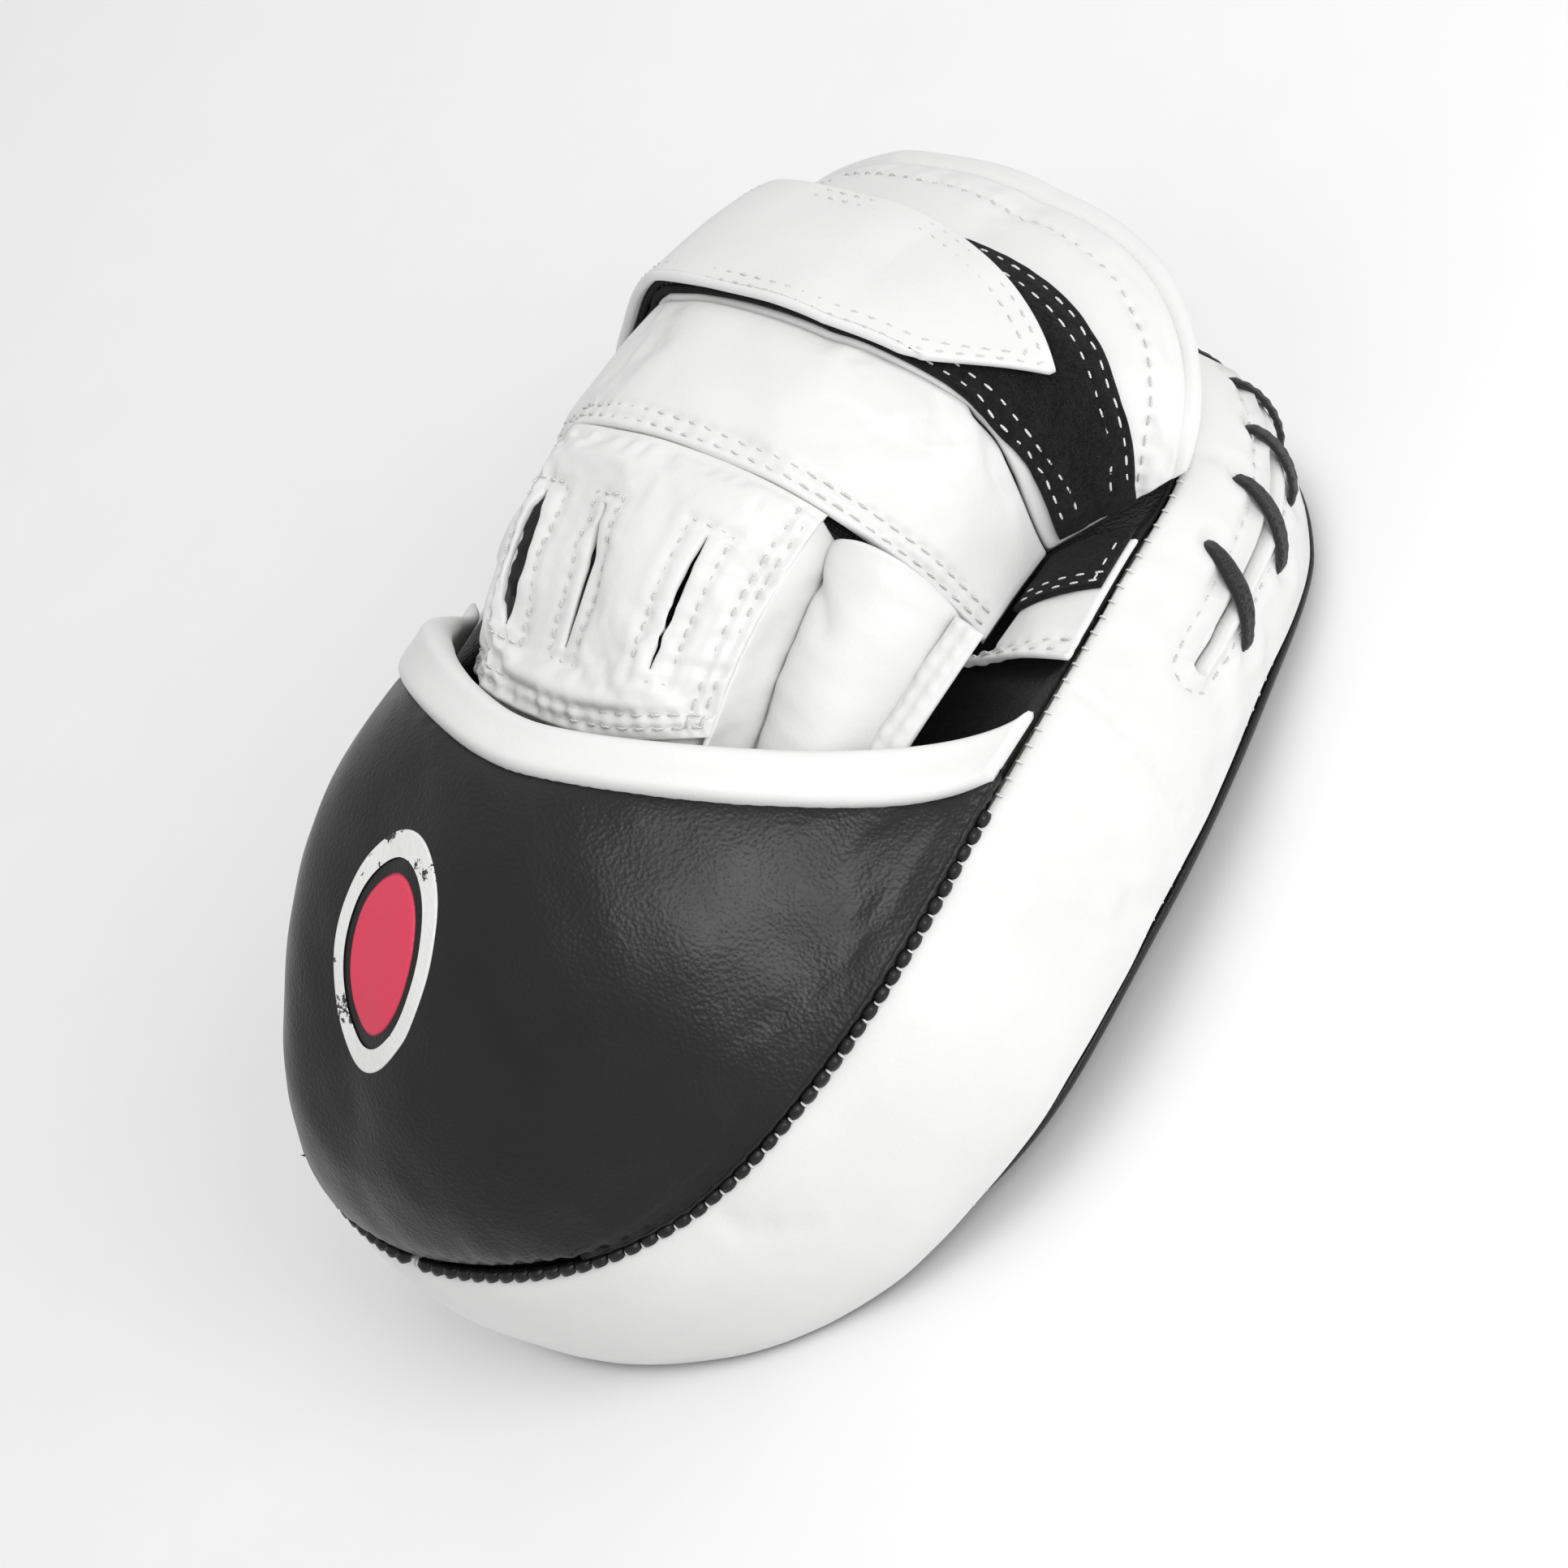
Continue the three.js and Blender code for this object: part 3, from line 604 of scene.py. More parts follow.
def share_of(surface, a, b, distance, axis):
    """A distance in millimetres as a change of one of the surface's two parameters."""
    a, b, step = np.asarray(a, float), np.asarray(b, float), 1e-3
    moves = (a + step, b) if axis == 0 else (a, b + step)
    return distance * step / np.linalg.norm(surface(*moves) - surface(a, b), axis=-1)


def rows_by(surface, axis, edge, along, distances, lift=0.0):
    """Lines at distances in from the border where parameter number axis is edge."""
    place = [along, along]
    place[axis] = np.full_like(along, float(edge))
    rows = []
    for distance in distances:
        moved = list(place)
        moved[axis] = place[axis] + share_of(surface, *place, distance, axis)
        rows.append(trace(surface, *moved, lift))
    return rows


def row_round(surface, inset, start, lift=0.0):
    """Line round three borders of a strip at a distance inside them, beginning at a = start."""
    end = 1 - share_of(surface, 1, 0.5, inset, 0)
    a = np.linspace(start, float(end), 120)
    low = share_of(surface, a, 0 * a, inset, 1)
    high = 1 - share_of(surface, a, 1 + 0 * a, inset, 1)
    turn = np.linspace(low[-1], high[-1], 12)[1:-1]
    whole_a = np.concatenate([a, np.full(len(turn), a[-1]), a[::-1]])
    return trace(surface, whole_a, np.concatenate([low, turn, high[::-1]]), lift)


def tube_faces(rings, sides):
    """Faces of an open tube whose points are listed ring by ring."""
    index = np.arange(rings * sides).reshape(rings, sides)
    after = np.roll(index, -1, axis=1)
    return np.stack([index[:-1], index[1:], after[1:], after[:-1]], -1).reshape(-1, 4)


def repeated(faces, count, points):
    """The faces of count copies that have that many points each."""
    return (faces[None] + np.arange(count)[:, None, None] * points).reshape(-1, 4)


def stitch_template(length, radius, bow):
    """Points and faces of one stitch: a capsule whose ends bend down into the leather."""
    rings, sides = 7, 6
    x = np.linspace(-1, 1, rings)[:, None]
    thick = radius * np.sqrt(np.maximum(0.12, 1 - x**4))
    turn = np.arange(sides) * 2 * np.pi / sides
    side, rise = np.cos(turn) * thick, np.sin(turn) * thick - bow * x**2
    points = vec(x * length / 2, side, rise).reshape(-1, 3)
    return points, tube_faces(rings, sides)


def place_copies(template, centres, ahead, up):
    points, faces = template
    side = unit(np.cross(up, ahead))
    up = unit(np.cross(ahead, side))
    placed = centres[:, None] + sum(
        points[None, :, k, None] * axis[:, None] for k, axis in enumerate((ahead, side, up))
    )
    return placed.reshape(-1, 3), repeated(faces, len(centres), len(points))


def stitches(name, rows, material, length, radius, lift, bow=0.55, pitch=PITCH, across=None):
    """Sewn thread: one short bowed capsule for each stitch, along its row or the way across."""
    every = round(pitch / TRACE_STEP)
    centres, ahead, up = [], [], []
    for row in rows:
        spare = every // 3 if across is None else 0
        pick = np.arange(every // 2, len(row["points"]) - spare, every)
        way = np.gradient(row["points"], axis=0) if across is None else across
        centres.append(row["points"][pick] + row["normals"][pick] * lift)
        ahead.append(unit(way[pick]))
        up.append(row["normals"][pick])
    copies = place_copies(
        stitch_template(length, radius, bow), *(np.concatenate(x) for x in (centres, ahead, up))
    )
    return add_mesh(name, *copies, material)


def grooved(rows, depth=0.4, width=1.0, pucker=0.5):
    """Relief of leather that its stitch rows pull in, deepest at the needle holes."""
    points = np.concatenate([row["points"] for row in rows])
    along = np.concatenate([row["along"] for row in rows])
    tree = KDTree(len(points))
    for i, point in enumerate(points):
        tree.insert(point, i)
    tree.balance()

    def relief(places, border):
        found = [tree.find(p)[1:] for p in places.reshape(-1, 3)]
        index = np.array([f[0] for f in found]).reshape(places.shape[:-1])
        far = np.array([f[1] for f in found]).reshape(places.shape[:-1])
        wave = 1 + pucker * np.cos(2 * np.pi * along[index] / PITCH)
        pulled = -depth * wave * np.exp(-((far / width) ** 2))
        swell = 0.35 * depth * np.exp(-(((far - 2.4 * width) / (1.3 * width)) ** 2))
        return pulled + swell

    return relief


def waves(scale, height, seed):
    """Smooth seeded undulation of a leather surface, a mean of a few sine waves in space."""
    rng = np.random.default_rng(seed)
    ways = rng.normal(size=(7, 3))
    ways = unit(ways) * (2 * np.pi / (scale * rng.uniform(0.7, 1.6, (7, 1))))
    phase = rng.uniform(0, 2 * np.pi, 7)
    return lambda places, border: height * np.sin(places @ ways.T + phase).mean(axis=-1) * 2


def rolled_in(depth, reach):
    """Relief of padded leather that dips towards its sewn border."""
    return lambda places, border: -depth * np.exp(-border / reach)


HOOD_SWELLS = (waves(45, 0.5, 7), waves(14, 0.12, 8))


# ---- materials
def grey(value):
    return (value, value, value)


class Look:
    """A new material and the steps that every finish here is made of."""

    def __init__(self, name, colour, roughness, specular=0.5, sheen=0.0):
        self.material = bpy.data.materials.new(name)
        self.material.use_nodes = True
        self.tree = self.material.node_tree
        self.coords = self.tree.nodes.new("ShaderNodeTexCoord")
        self.inputs = self.tree.nodes["Principled BSDF"].inputs
        self.inputs["Base Color"].default_value = (*colour, 1)
        self.inputs["Roughness"].default_value = roughness
        self.inputs["Specular IOR Level"].default_value = specular
        self.inputs["Sheen Weight"].default_value = sheen

    def texture(self, kind, scale, **settings):
        """Main output of a texture; settings are inputs or properties of its node."""
        node = self.tree.nodes.new("ShaderNodeTex" + kind)
        node.inputs["Scale"].default_value = scale
        for key, value in settings.items():
            if key in node.inputs:
                node.inputs[key].default_value = value
            else:
                setattr(node, key, value)
        self.tree.links.new(self.coords.outputs["Object"], node.inputs["Vector"])
        return node.outputs["Distance" if kind == "Voronoi" else "Fac"]

    def ramp(self, source, *stops, socket="Base Color"):
        """Blend between two stops, each (place, colour), into a socket of the shader."""
        node = self.tree.nodes.new("ShaderNodeValToRGB")
        for element, (place, colour) in zip(node.color_ramp.elements, stops):
            element.position = place
            element.color = (*colour, 1)
        self.tree.links.new(source, node.inputs["Fac"])
        self.tree.links.new(node.outputs["Color"], self.inputs[socket])

    def bump(self, *heights):
        """Chain of bumps, each (height output, strength, distance in metres); ends the look."""
        target = self.inputs["Normal"]
        for output, strength, distance in reversed(heights):
            node = self.tree.nodes.new("ShaderNodeBump")
            node.inputs["Strength"].default_value = strength
            node.inputs["Distance"].default_value = distance
            self.tree.links.new(output, node.inputs["Height"])
            self.tree.links.new(node.outputs["Normal"], target)
            target = node.inputs["Normal"]
        return self.material


def leather(name, dark, light, roughness, grain, strength, specular):
    """Hide with slow changes of tone and shine, creases, a pebbled grain and pores."""
    look = Look(name, light, roughness[0], specular=specular)
    tone = look.texture("Noise", 38, Detail=6.0, Roughness=0.6)
    look.ramp(tone, (0.3, dark), (0.7, light))
    patches = look.texture("Noise", 60, Detail=4.0)
    look.ramp(patches, (0.3, grey(roughness[0])), (0.7, grey(roughness[1])), socket="Roughness")
    pebble = look.texture("Voronoi", grain, feature="SMOOTH_F1", Randomness=1.0)
    pores = look.texture("Noise", 2400, Detail=3.0)
    creases = look.texture("Noise", 240, Detail=6.0, Roughness=0.6)
    return look.bump((creases, strength * 0.35, 0.001), (pebble, strength, 0.0006),
                     (pores, strength * 0.5, 0.0003))


def pile(name, colour, light):
    """Brushed loop tape: matt fibres over a dark ground."""
    look = Look(name, colour, 1.0, specular=0.1, sheen=0.08)
    fibre = look.texture("Noise", 900, Detail=8.0, Roughness=0.8)
    look.ramp(fibre, (0.35, colour), (0.8, light))
    clumps = look.texture("Noise", 260, Detail=5.0)
    return look.bump((clumps, 0.8, 0.0015), (fibre, 0.9, 0.0008))


def woven(name, dark, light, scale=620):
    look = Look(name, light, 0.9, sheen=0.2)
    warp = look.texture("Wave", scale, bands_direction="X", Distortion=0.6)
    weft = look.texture("Wave", scale, bands_direction="Y", Distortion=0.6)
    mix = look.tree.nodes.new("ShaderNodeMath")
    mix.operation = "MULTIPLY"
    look.tree.links.new(warp, mix.inputs[0])
    look.tree.links.new(weft, mix.inputs[1])
    look.ramp(mix.outputs["Value"], (0.1, dark), (0.8, light))
    lint = look.texture("Noise", 300, Detail=6.0)
    return look.bump((lint, 0.3, 0.0008), (mix.outputs["Value"], 0.6, 0.0004))


def foam_material(name, dark, light):
    look = Look(name, light, 0.95)
    cells = look.texture("Voronoi", 700, Randomness=1.0)
    look.ramp(cells, (0.05, dark), (0.4, light))
    rough = look.texture("Noise", 180, Detail=6.0)
    return look.bump((rough, 0.3, 0.001), (cells, 0.6, 0.0006))


def worn_print(name, ink, wear):
    """Printed ink whose cracks and rubbed spots show the leather under it."""
    look = Look(name, ink, 0.45)
    cracks = look.texture("Noise", 95, Detail=9.0, Roughness=0.72)
    look.ramp(cracks, (wear, grey(0.02)), (wear + 0.012, ink))
    grain = look.texture("Voronoi", 900, feature="SMOOTH_F1")
    return look.bump((cracks, 0.2, 0.0006), (grain, 0.25, 0.0005))


def thread_material(name, dark, light):
    look = Look(name, light, 0.6)
    twist = look.texture("Wave", 900, bands_direction="DIAGONAL", Distortion=1.5)
    look.ramp(twist, (0.0, dark), (0.6, light))
    return look.bump((twist, 0.5, 0.0003))


WORK_MATERIAL = bpy.data.materials.new("work")
BLACK = leather("black_hide", grey(0.006), grey(0.011), (0.33, 0.42), 1300, 0.2, 0.34)
WHITE = leather("white_hide", (0.74, 0.74, 0.735), (0.78, 0.78, 0.775), (0.42, 0.55), 1100, 0.08,
                0.4)
FOAM = foam_material("eva_foam", (0.5, 0.46, 0.36), (0.7, 0.66, 0.55))
LINING = woven("lining_weave", (0.012, 0.012, 0.013), (0.05, 0.05, 0.055))
LOOP = pile("loop_pile", grey(0.004), grey(0.022))
HOOK = pile("hook_ground", grey(0.005), grey(0.016))
FUZZ = pile("loop_fuzz", grey(0.01), grey(0.05))
BRAID = woven("lace_braid", grey(0.004), grey(0.018), scale=1300)
THREAD = thread_material("white_thread", (0.55, 0.55, 0.54), (0.84, 0.84, 0.83))
# Painted shade: the white thread painted grey, so that its stitches carry the shade of their
# grooves.
PAINTED_SHADE_THREAD = thread_material("painted_shade_thread", (0.52, 0.52, 0.51), (0.76, 0.76, 0.75))
INK_WHITE = worn_print("white_ink", (0.8, 0.8, 0.79), 0.38)
INK_RED = worn_print("red_ink", (0.72, 0.04, 0.095), 0.33)


# ---- pieces
def own(obj, *replaced, slot=None, body="mitt", fill=None):
    """Puts a piece on the body it rides on and hides the imported pieces that it stands for."""
    if body:
        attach(obj, body)
    if replaced:
        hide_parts(*replaced)
    return obj


def skin(name, replaced, fill, *shape, body="mitt", **more):
    """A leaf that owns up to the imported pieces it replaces."""
    return own(leaf(name, *shape, **more), *replaced, body=body, fill=fill)


# Stitches use the thread painted grey as painted shade unless another thread is given.
def sew(name, rows, length, radius, lift, thread=PAINTED_SHADE_THREAD, slot=None, body="mitt", **more):
    return own(stitches(name, rows, thread, length, radius, lift, **more), slot=slot, body=body)


def build_pad():
    skin("strike_cover_leather", ["strike_cover"], 0.9, strike_cover, even(240),
         lines(0, 1, 36, crowd=0.7), 0, -COVER_T, BLACK, reliefs=(waves(60, 0.25, 1),), closed=True)
    for name, low, high, more in FOAM_LAYERS:
        half = (high - low) / 2
        skin(f"foam_{name}_block", [f"foam_{name}_layer"], 1.0,
             pad_level(low, high, FOAM_INSET + more), even(96),
             lines(0, 1, 16, crowd=0.3, fine=0.01), half, -half, FOAM, edge=1.5, closed=True)
    skin("back_panel_leather", ["back_panel"], 0.5, pad_level(42.8, 45.2, GUSSET_T + 0.2),
         even(200), lines(0, 1, 44, crowd=0.3), 1.2, -1.2, BLACK, closed=True,
         reliefs=(waves(26, 0.9, 2), waves(60, 1.0, 3)))


def lace_hole_places():
    """Each crossing's upper and lower hole, as a share of the way round and of the height."""
    crossing = np.arange(LACE_CROSSINGS)
    shares = lerp(*SLIT, (crossing + 0.9) / (LACE_CROSSINGS + 0.8))
    inwards = np.clip(np.minimum(crossing, crossing[::-1]) / 2, 0, 1)
    top = np.stack([shares + 0.012, LACE_HEIGHTS[0] - 0.12 * inwards**2], -1)
    bottom = np.stack([shares - 0.012, np.full(LACE_CROSSINGS, LACE_HEIGHTS[1])], -1)
    return np.stack([top, bottom], 1).reshape(-1, 2)


def slit_round(spread):
    """A line on the gusset round the laced slit, so many millimetres outside it."""
    half_t, half_v = (share_of(GUSSET, 0.5, SLIT_HEIGHT, spread, axis) for axis in (0, 1))
    side = np.linspace(SLIT[0], SLIT[1], 400)
    turn = np.linspace(-np.pi / 2, np.pi / 2, 24)[1:-1]
    right = (SLIT[1] + half_t * np.cos(turn), SLIT_HEIGHT + half_v * np.sin(turn))
    left = (SLIT[0] - half_t * np.cos(turn), SLIT_HEIGHT - half_v * np.sin(turn))
    t = np.concatenate([side, right[0], side[::-1], left[0], side[:1]])
    v = np.concatenate([
        np.full(400, SLIT_HEIGHT - half_v), right[1], np.full(400, SLIT_HEIGHT + half_v), left[1],
        [SLIT_HEIGHT - half_v],
    ])
    return trace(GUSSET, t, v)


def lace_dimples(places, border):
    holes = GUSSET(*lace_hole_places().T)
    far = np.min(np.linalg.norm(places[..., None, :] - holes, axis=-1), axis=-1)
    return -1.5 * np.exp(-((far / 2.6) ** 2)) + 0.35 * np.exp(-(((far - 5) / 2) ** 2))


def build_gusset():
    """Side wall with a dart, the laced slit's two rolled lips, and its welted outline."""
    dart = trace(GUSSET, np.linspace(0.272, 0.284, 60), np.linspace(0.17, 0.99, 60))
    outline, lips, valley = (slit_round(spread) for spread in (5.6, 1.9, 4.0))
    half = 0.7 / PAD_DEPTH
    cut = (SLIT[0], SLIT[1], SLIT_HEIGHT - half, SLIT_HEIGHT + half)
    reliefs = (grooved([lips], depth=-1.5, width=1.5, pucker=0),
               grooved([valley], depth=0.5, width=0.7, pucker=0),
               grooved([outline], depth=0.6, width=0.9, pucker=0.3),
               grooved([dart], depth=0.6, width=0.9, pucker=0.3),
               lace_dimples, waves(34, 0.35, 5), waves(13, 0.08, 6), rolled_in(0.9, 1.6))
    skin("gusset_leather", ["side_gusset"], 0.8, GUSSET, lines(0, 1, 620, crowd=0, stops=SLIT),
         lines(0, 1, 38, crowd=0.3, stops=cut[2:], fine=0.008), 0, -GUSSET_T, WHITE,
         reliefs=reliefs, edge=1.2, cuts=[cut], closed=True)
    sew("stitches_gusset", [outline, dart], 2.3, 0.24, -0.45)
    build_seam_ticks()
    build_lace()


def build_seam_ticks():
    """Overedge stitches along both edges of the side wall, and the scallops under the hood."""
    t = np.linspace(0, 1, 1600)
    for name, v, way in (("seam_ticks_back", 0.99, 1), ("seam_ticks_strike", 0.01, -1)):
        row = trace(GUSSET, t, np.full_like(t, v), lift=-0.35)
        up = np.cross(np.gradient(row["points"], axis=0), row["normals"])
        across = -way * unit(up) - 0.55 * row["normals"]
        row["points"] = row["points"] + way * np.array([0, 0, 0.5]) - 0.2 * row["normals"]
        sew(name, [row], 1.7, 0.27, 0, THREAD, "white_leather", bow=0.45, across=across)
    covered = (np.linspace(0.0015, 0.249, 500), np.linspace(0.751, 0.9985, 500))
    rows = [trace(GUSSET, t, np.full_like(t, 0.99), lift=-1.2) for t in covered]
    for row in rows:
        row["points"] = row["points"] + np.array([0, 0, 0.7])
    sew("hood_seam_scallops", rows, 4.3, 1.5, 0.12, BLACK, bow=0.8)


def lace_route():
    """Middle line of the lace through its holes, with its way across and its share of width."""
    holes = lace_hole_places()
    first, last = ([[hole[0] + way, 0.9]] for hole, way in ((holes[0], -0.03), (holes[-1], 0.03)))
    stops = np.concatenate([first, holes, last])
    points, across, wide = [], [], []
    for i, (start, end) in enumerate(zip(stops, stops[1:])):
        outside = i % 2 == 1
        share = np.linspace(0, 1, 41 if outside else 9)[:, None]
        place = lerp(start, end, share)
        out = normals(GUSSET, place[:, 0], place[:, 1])
        hump = np.sin(np.pi * share) ** 0.55
        lift = lerp(-1.6, 2.1, hump) if outside else lerp(-1.8, -GUSSET_T - 1.6, hump)
        middle = GUSSET(place[:, 0], place[:, 1]) + out * lift
        heading = (middle[-1] - middle[0]) * (1 if outside else -1)
        points.append(middle)
        across.append(unit(np.cross(heading, out)))
        wide.append(lerp(0.45, 1, hump) if outside else np.full_like(share, 0.45))
    return np.concatenate(points), np.concatenate(across), np.concatenate(wide)


def build_lace():
    """Flat braid with a chevron of raised strands and a dip along its middle."""
    at, points, across, wide = resampled(0.65, *lace_route())
    ahead = unit(np.gradient(points, axis=0))
    up = unit(np.cross(unit(across), ahead))
    turn = np.linspace(0, 2 * np.pi, 17)[:-1]
    q = np.cos(turn)
    chevron = np.abs(np.mod(at[:, None] / 2.6 + 0.7 * np.abs(q)[None], 1) - 0.5) * 2
    thick = 0.68 * (1 - 0.28 * np.abs(q) ** 4) + 0.3 * chevron * (1 - q**4) - 0.22 * np.exp(
        -((q / 0.16) ** 2))
    side = across[:, None] * (2.55 * wide * np.sign(q) * np.abs(q) ** 0.8)[..., None]
    rise = up[:, None] * (thick * np.sign(np.sin(turn)) * np.abs(np.sin(turn)) ** 0.7)[..., None]
    cloud = (points[:, None] + side + rise).reshape(-1, 3)
    faces = tube_faces(len(points), len(turn))[:, [0, 3, 2, 1]]
    own(add_mesh("lace_braid", cloud, faces, BRAID), "lace")


def hood_top(u, v):
    """Outside of the hood leather, with its swells and dents."""
    points = HOOD(u, v)
    return points + normals(HOOD, u, v) * sum(swell(points, 0) for swell in HOOD_SWELLS)[..., None]


def emblem_patch(name, inner, outer, material, node):
    def surface(turn, share):
        angle = turn * 2 * np.pi
        radius = lerp(inner, outer, share)
        return hood_top(EMBLEM_AT[0] + EMBLEM_R[0] * radius * np.cos(angle),
                        EMBLEM_AT[1] + EMBLEM_R[1] * radius * np.sin(angle))

    skin(name, [node], None, surface, even(120), even(20), 0.32, -0.3, material, edge=0.3,
         closed=True)


def build_hood():
    skin("hood_leather", ["finger_hood"], 0.75, HOOD, lines(-1, 1, 230, crowd=0.55),
         lines(0.004, 1, 96, crowd=0.4), 0, -COVER_T, BLACK, edge=1.0,
         reliefs=(*HOOD_SWELLS, rolled_in(1.6, 2.2), scalloped))
    skin("hood_foam", ["hood_padding"], 0.8, HOOD, lines(-0.82, 0.82, 80),
         lines(0.27, 1, 40, fine=0.01), -3.3, -9.3, FOAM, edge=1.5)
    lining = skin("hood_lining_cloth", ["hood_lining"], None, HOOD, lines(-0.8, 0.8, 100),
                  lines(0.33, 1, 50), -10.2, -11.6, LINING, reliefs=(waves(12, 0.3, 9),))
    emblem_patch("emblem_ring_print", 0.78, 1, INK_WHITE, "emblem_ring")
    emblem_patch("emblem_disc_print", 0.001, 0.66, INK_RED, "emblem_disc")
    build_binding()


def scalloped(places, border):
    """Small scallops of the hood leather between the overedge stitches of its seam."""
    angle = np.arctan2(places[..., 1] - 10, places[..., 0])
    ripple = np.sin(angle * 2 * np.pi * 105 / PITCH)
    return 0.55 * ripple * np.exp(-border / 1.8)


def binding_depth(u, v):
    """The binding wraps the padding inside, and gets thin where that ends at the side seams."""
    return -2 - 4 * np.clip((0.9 - np.abs(u)) / 0.2, 0, 1) * np.clip((u + 0.75) / 0.4, 0.1, 1)


def binding_height(u, v):
    return 1.9 - 1.1 * smooth(-u, 0.55, 0.95)


def build_binding():
    """Rolled edge of the hood's opening, from just inside the leather to 8 mm beyond it."""
    sewn = trace(HOOD, np.linspace(-0.97, 0.97, 400), np.full(400, 1 + 1.2 / HOOD_V_MM), lift=1.9)
    skin("hood_binding_leather", ["hood_binding"], 0.7, HOOD, lines(-0.97, 1.0, 320, crowd=0.3),
         lines(1 - 1.6 / HOOD_V_MM, 1 + 8 / HOOD_V_MM, 18), binding_height, binding_depth,
         WHITE, reliefs=(grooved([sewn], depth=0.8, width=0.8), waves(16, 0.12, 11)), edge=2.2)
    sew("stitches_binding", [sewn], 2.5, 0.3, -0.1)


def build_shell():
    u, across = np.linspace(-0.97, 0.985, 500), lines(-0.998, 0.998, 260, crowd=0.2)
    rows = rows_by(GLOVE, 1, 0, u, (2.4, 5.2))
    skin("knuckle_band_leather", ["knuckle_band"], 0.6, GLOVE, across,
         lines(0, 0.995, 48, crowd=0.45), 0, -COVER_T, WHITE, edge=1.2,
         reliefs=(grooved(rows, depth=0.45), waves(22, 0.35, 13)))
    sew("stitches_knuckle_band", rows, 2.6, 0.27, -0.15)
    rim = rows_by(GLOVE, 1, 2, u, (-7.5,))
    skin("wrist_cuff_leather", ["wrist_cuff"], 0.6, GLOVE, across,
         lines(1.0, 2.02, 48, crowd=0.45), 0, -COVER_T, WHITE, edge=1.2,
         reliefs=(grooved(rim, depth=0.55, width=1.2), waves(40, 0.4, 15)))
    sew("stitches_cuff_rim", rim, 2.6, 0.27, -0.2)
    build_shell_inside()


def rim_depth(u, w):
    """The rim is rolled over the cuff's padding, and flat where that ends at the side seams."""
    return -2 - 7 * np.clip((0.84 - np.abs(u)) / 0.15, 0, 1)


def build_shell_inside():
    across = lines(-0.77, 0.97, 110)
    for name, node, low, high in (("knuckle_foam", "knuckle_padding", 0.14, 0.88),
                                  ("cuff_foam", "cuff_padding", 1.08, 2)):
        skin(name, [node], 0.8, GLOVE, across, lines(low, high, 30), -3.3, -7.3, FOAM, edge=1.5)
    lining = skin("shell_lining_cloth", ["shell_lining"], None, GLOVE, lines(-0.77, 0.97, 120),
                  lines(0, 2, 80), -8.2, -9.6, LINING, reliefs=(waves(14, 0.3, 17),))
    skin("cuff_rim_leather", ["cuff_rim_roll"], 0.8, GLOVE, lines(-0.998, 0.998, 240, crowd=0.2),
         lines(2.0, 2.04 + 5 / CUFF_V_MM, 16), 0.35, rim_depth, WHITE, edge=3.0,
         reliefs=(waves(18, 0.2, 19),))


def build_flanges():
    a, b = np.linspace(0.02, 0.98, 60), np.linspace(0.03, 0.97, 60)
    for name, surface in (("near", flange), ("far", mirrored(flange))):
        rows = rows_by(surface, 1, 0, a, (2.0, 4.6))
        skin(f"{name}_flange_leather", [f"{name}_flange"], 0.3, surface, lines(0, 1, 40),
             lines(0, 1, 44), 0.3, -1.7, WHITE, reliefs=(grooved(rows), waves(14, 0.3, 21)))
        sew(f"stitches_{name}_flange", rows, 2.9, 0.27, 0.15)
    rows = rows_by(flange, 1, 0.5, a, (1.6, 4.0), 1.6)
    rows += rows_by(flange, 0, 0.94, b * 0.5 + 0.5, (-1.4,), 1.6)
    skin("flange_loop_tape", [], None, flange, lines(0, 0.97, 40), lines(0.5, 1.06, 30), 1.7, 0.4,
         LOOP, reliefs=(grooved(rows, depth=0.5),))
    sew("stitches_flange_loop", rows, 3.4, 0.3, 0.1, THREAD, "loop_fabric")


def loop_curls(name, surface, across, along, count, lift, material, seed):
    """Short curled fibres that stand up from loop tape."""
    rng = np.random.default_rng(seed)
    a, b = rng.uniform(*across, count), rng.uniform(*along, count)
    points, up = surface(a, b), normals(surface, a, b)
    way = unit(np.cross(up, rng.normal(size=(count, 3))))
    rings, sides = 5, 3
    x = np.linspace(0, np.pi, rings)[:, None]
    size = rng.uniform(0.5, 1.1, count)[:, None, None]
    middle = points[:, None] + up[:, None] * (lift + np.sin(x) * 0.75 * size)
    middle = middle + way[:, None] * (-np.cos(x) * 0.8 * size)
    side = unit(np.cross(up, way))[:, None]
    turn = np.arange(sides) * 2 * np.pi / sides
    ring = side[..., None, :] * np.cos(turn)[:, None] + up[:, None, None] * np.sin(turn)[:, None]
    cloud = middle[:, :, None] + 0.09 * ring
    faces = repeated(tube_faces(rings, sides), count, rings * sides)
    return add_mesh(name, cloud.reshape(-1, 3), faces, material)


def build_loop_tape():
    a = np.linspace(0.012, 0.985, 400)
    rows = rows_by(tape_sheet, 1, 0, a, (1.9, 4.9), 1.75)
    rows += rows_by(tape_sheet, 1, 1, a, (-1.9, -4.9), 1.75)
    tape = skin("loop_tape", ["loop_patch"], None, tape_sheet, lines(0, 1, 260), lines(0, 1, 50),
                1.85, 0.3, LOOP,
                reliefs=(grooved(rows, depth=0.6, width=1.1), waves(3, 0.12, 23)))
    sew("stitches_loop_tape", rows, 3.5, 0.3, 0.1, THREAD, "loop_fabric")
    own(loop_curls("loop_tape_curls", tape_sheet, (0.55, 0.97), (0.2, 0.82), 3000, 1.5, FUZZ, 25))


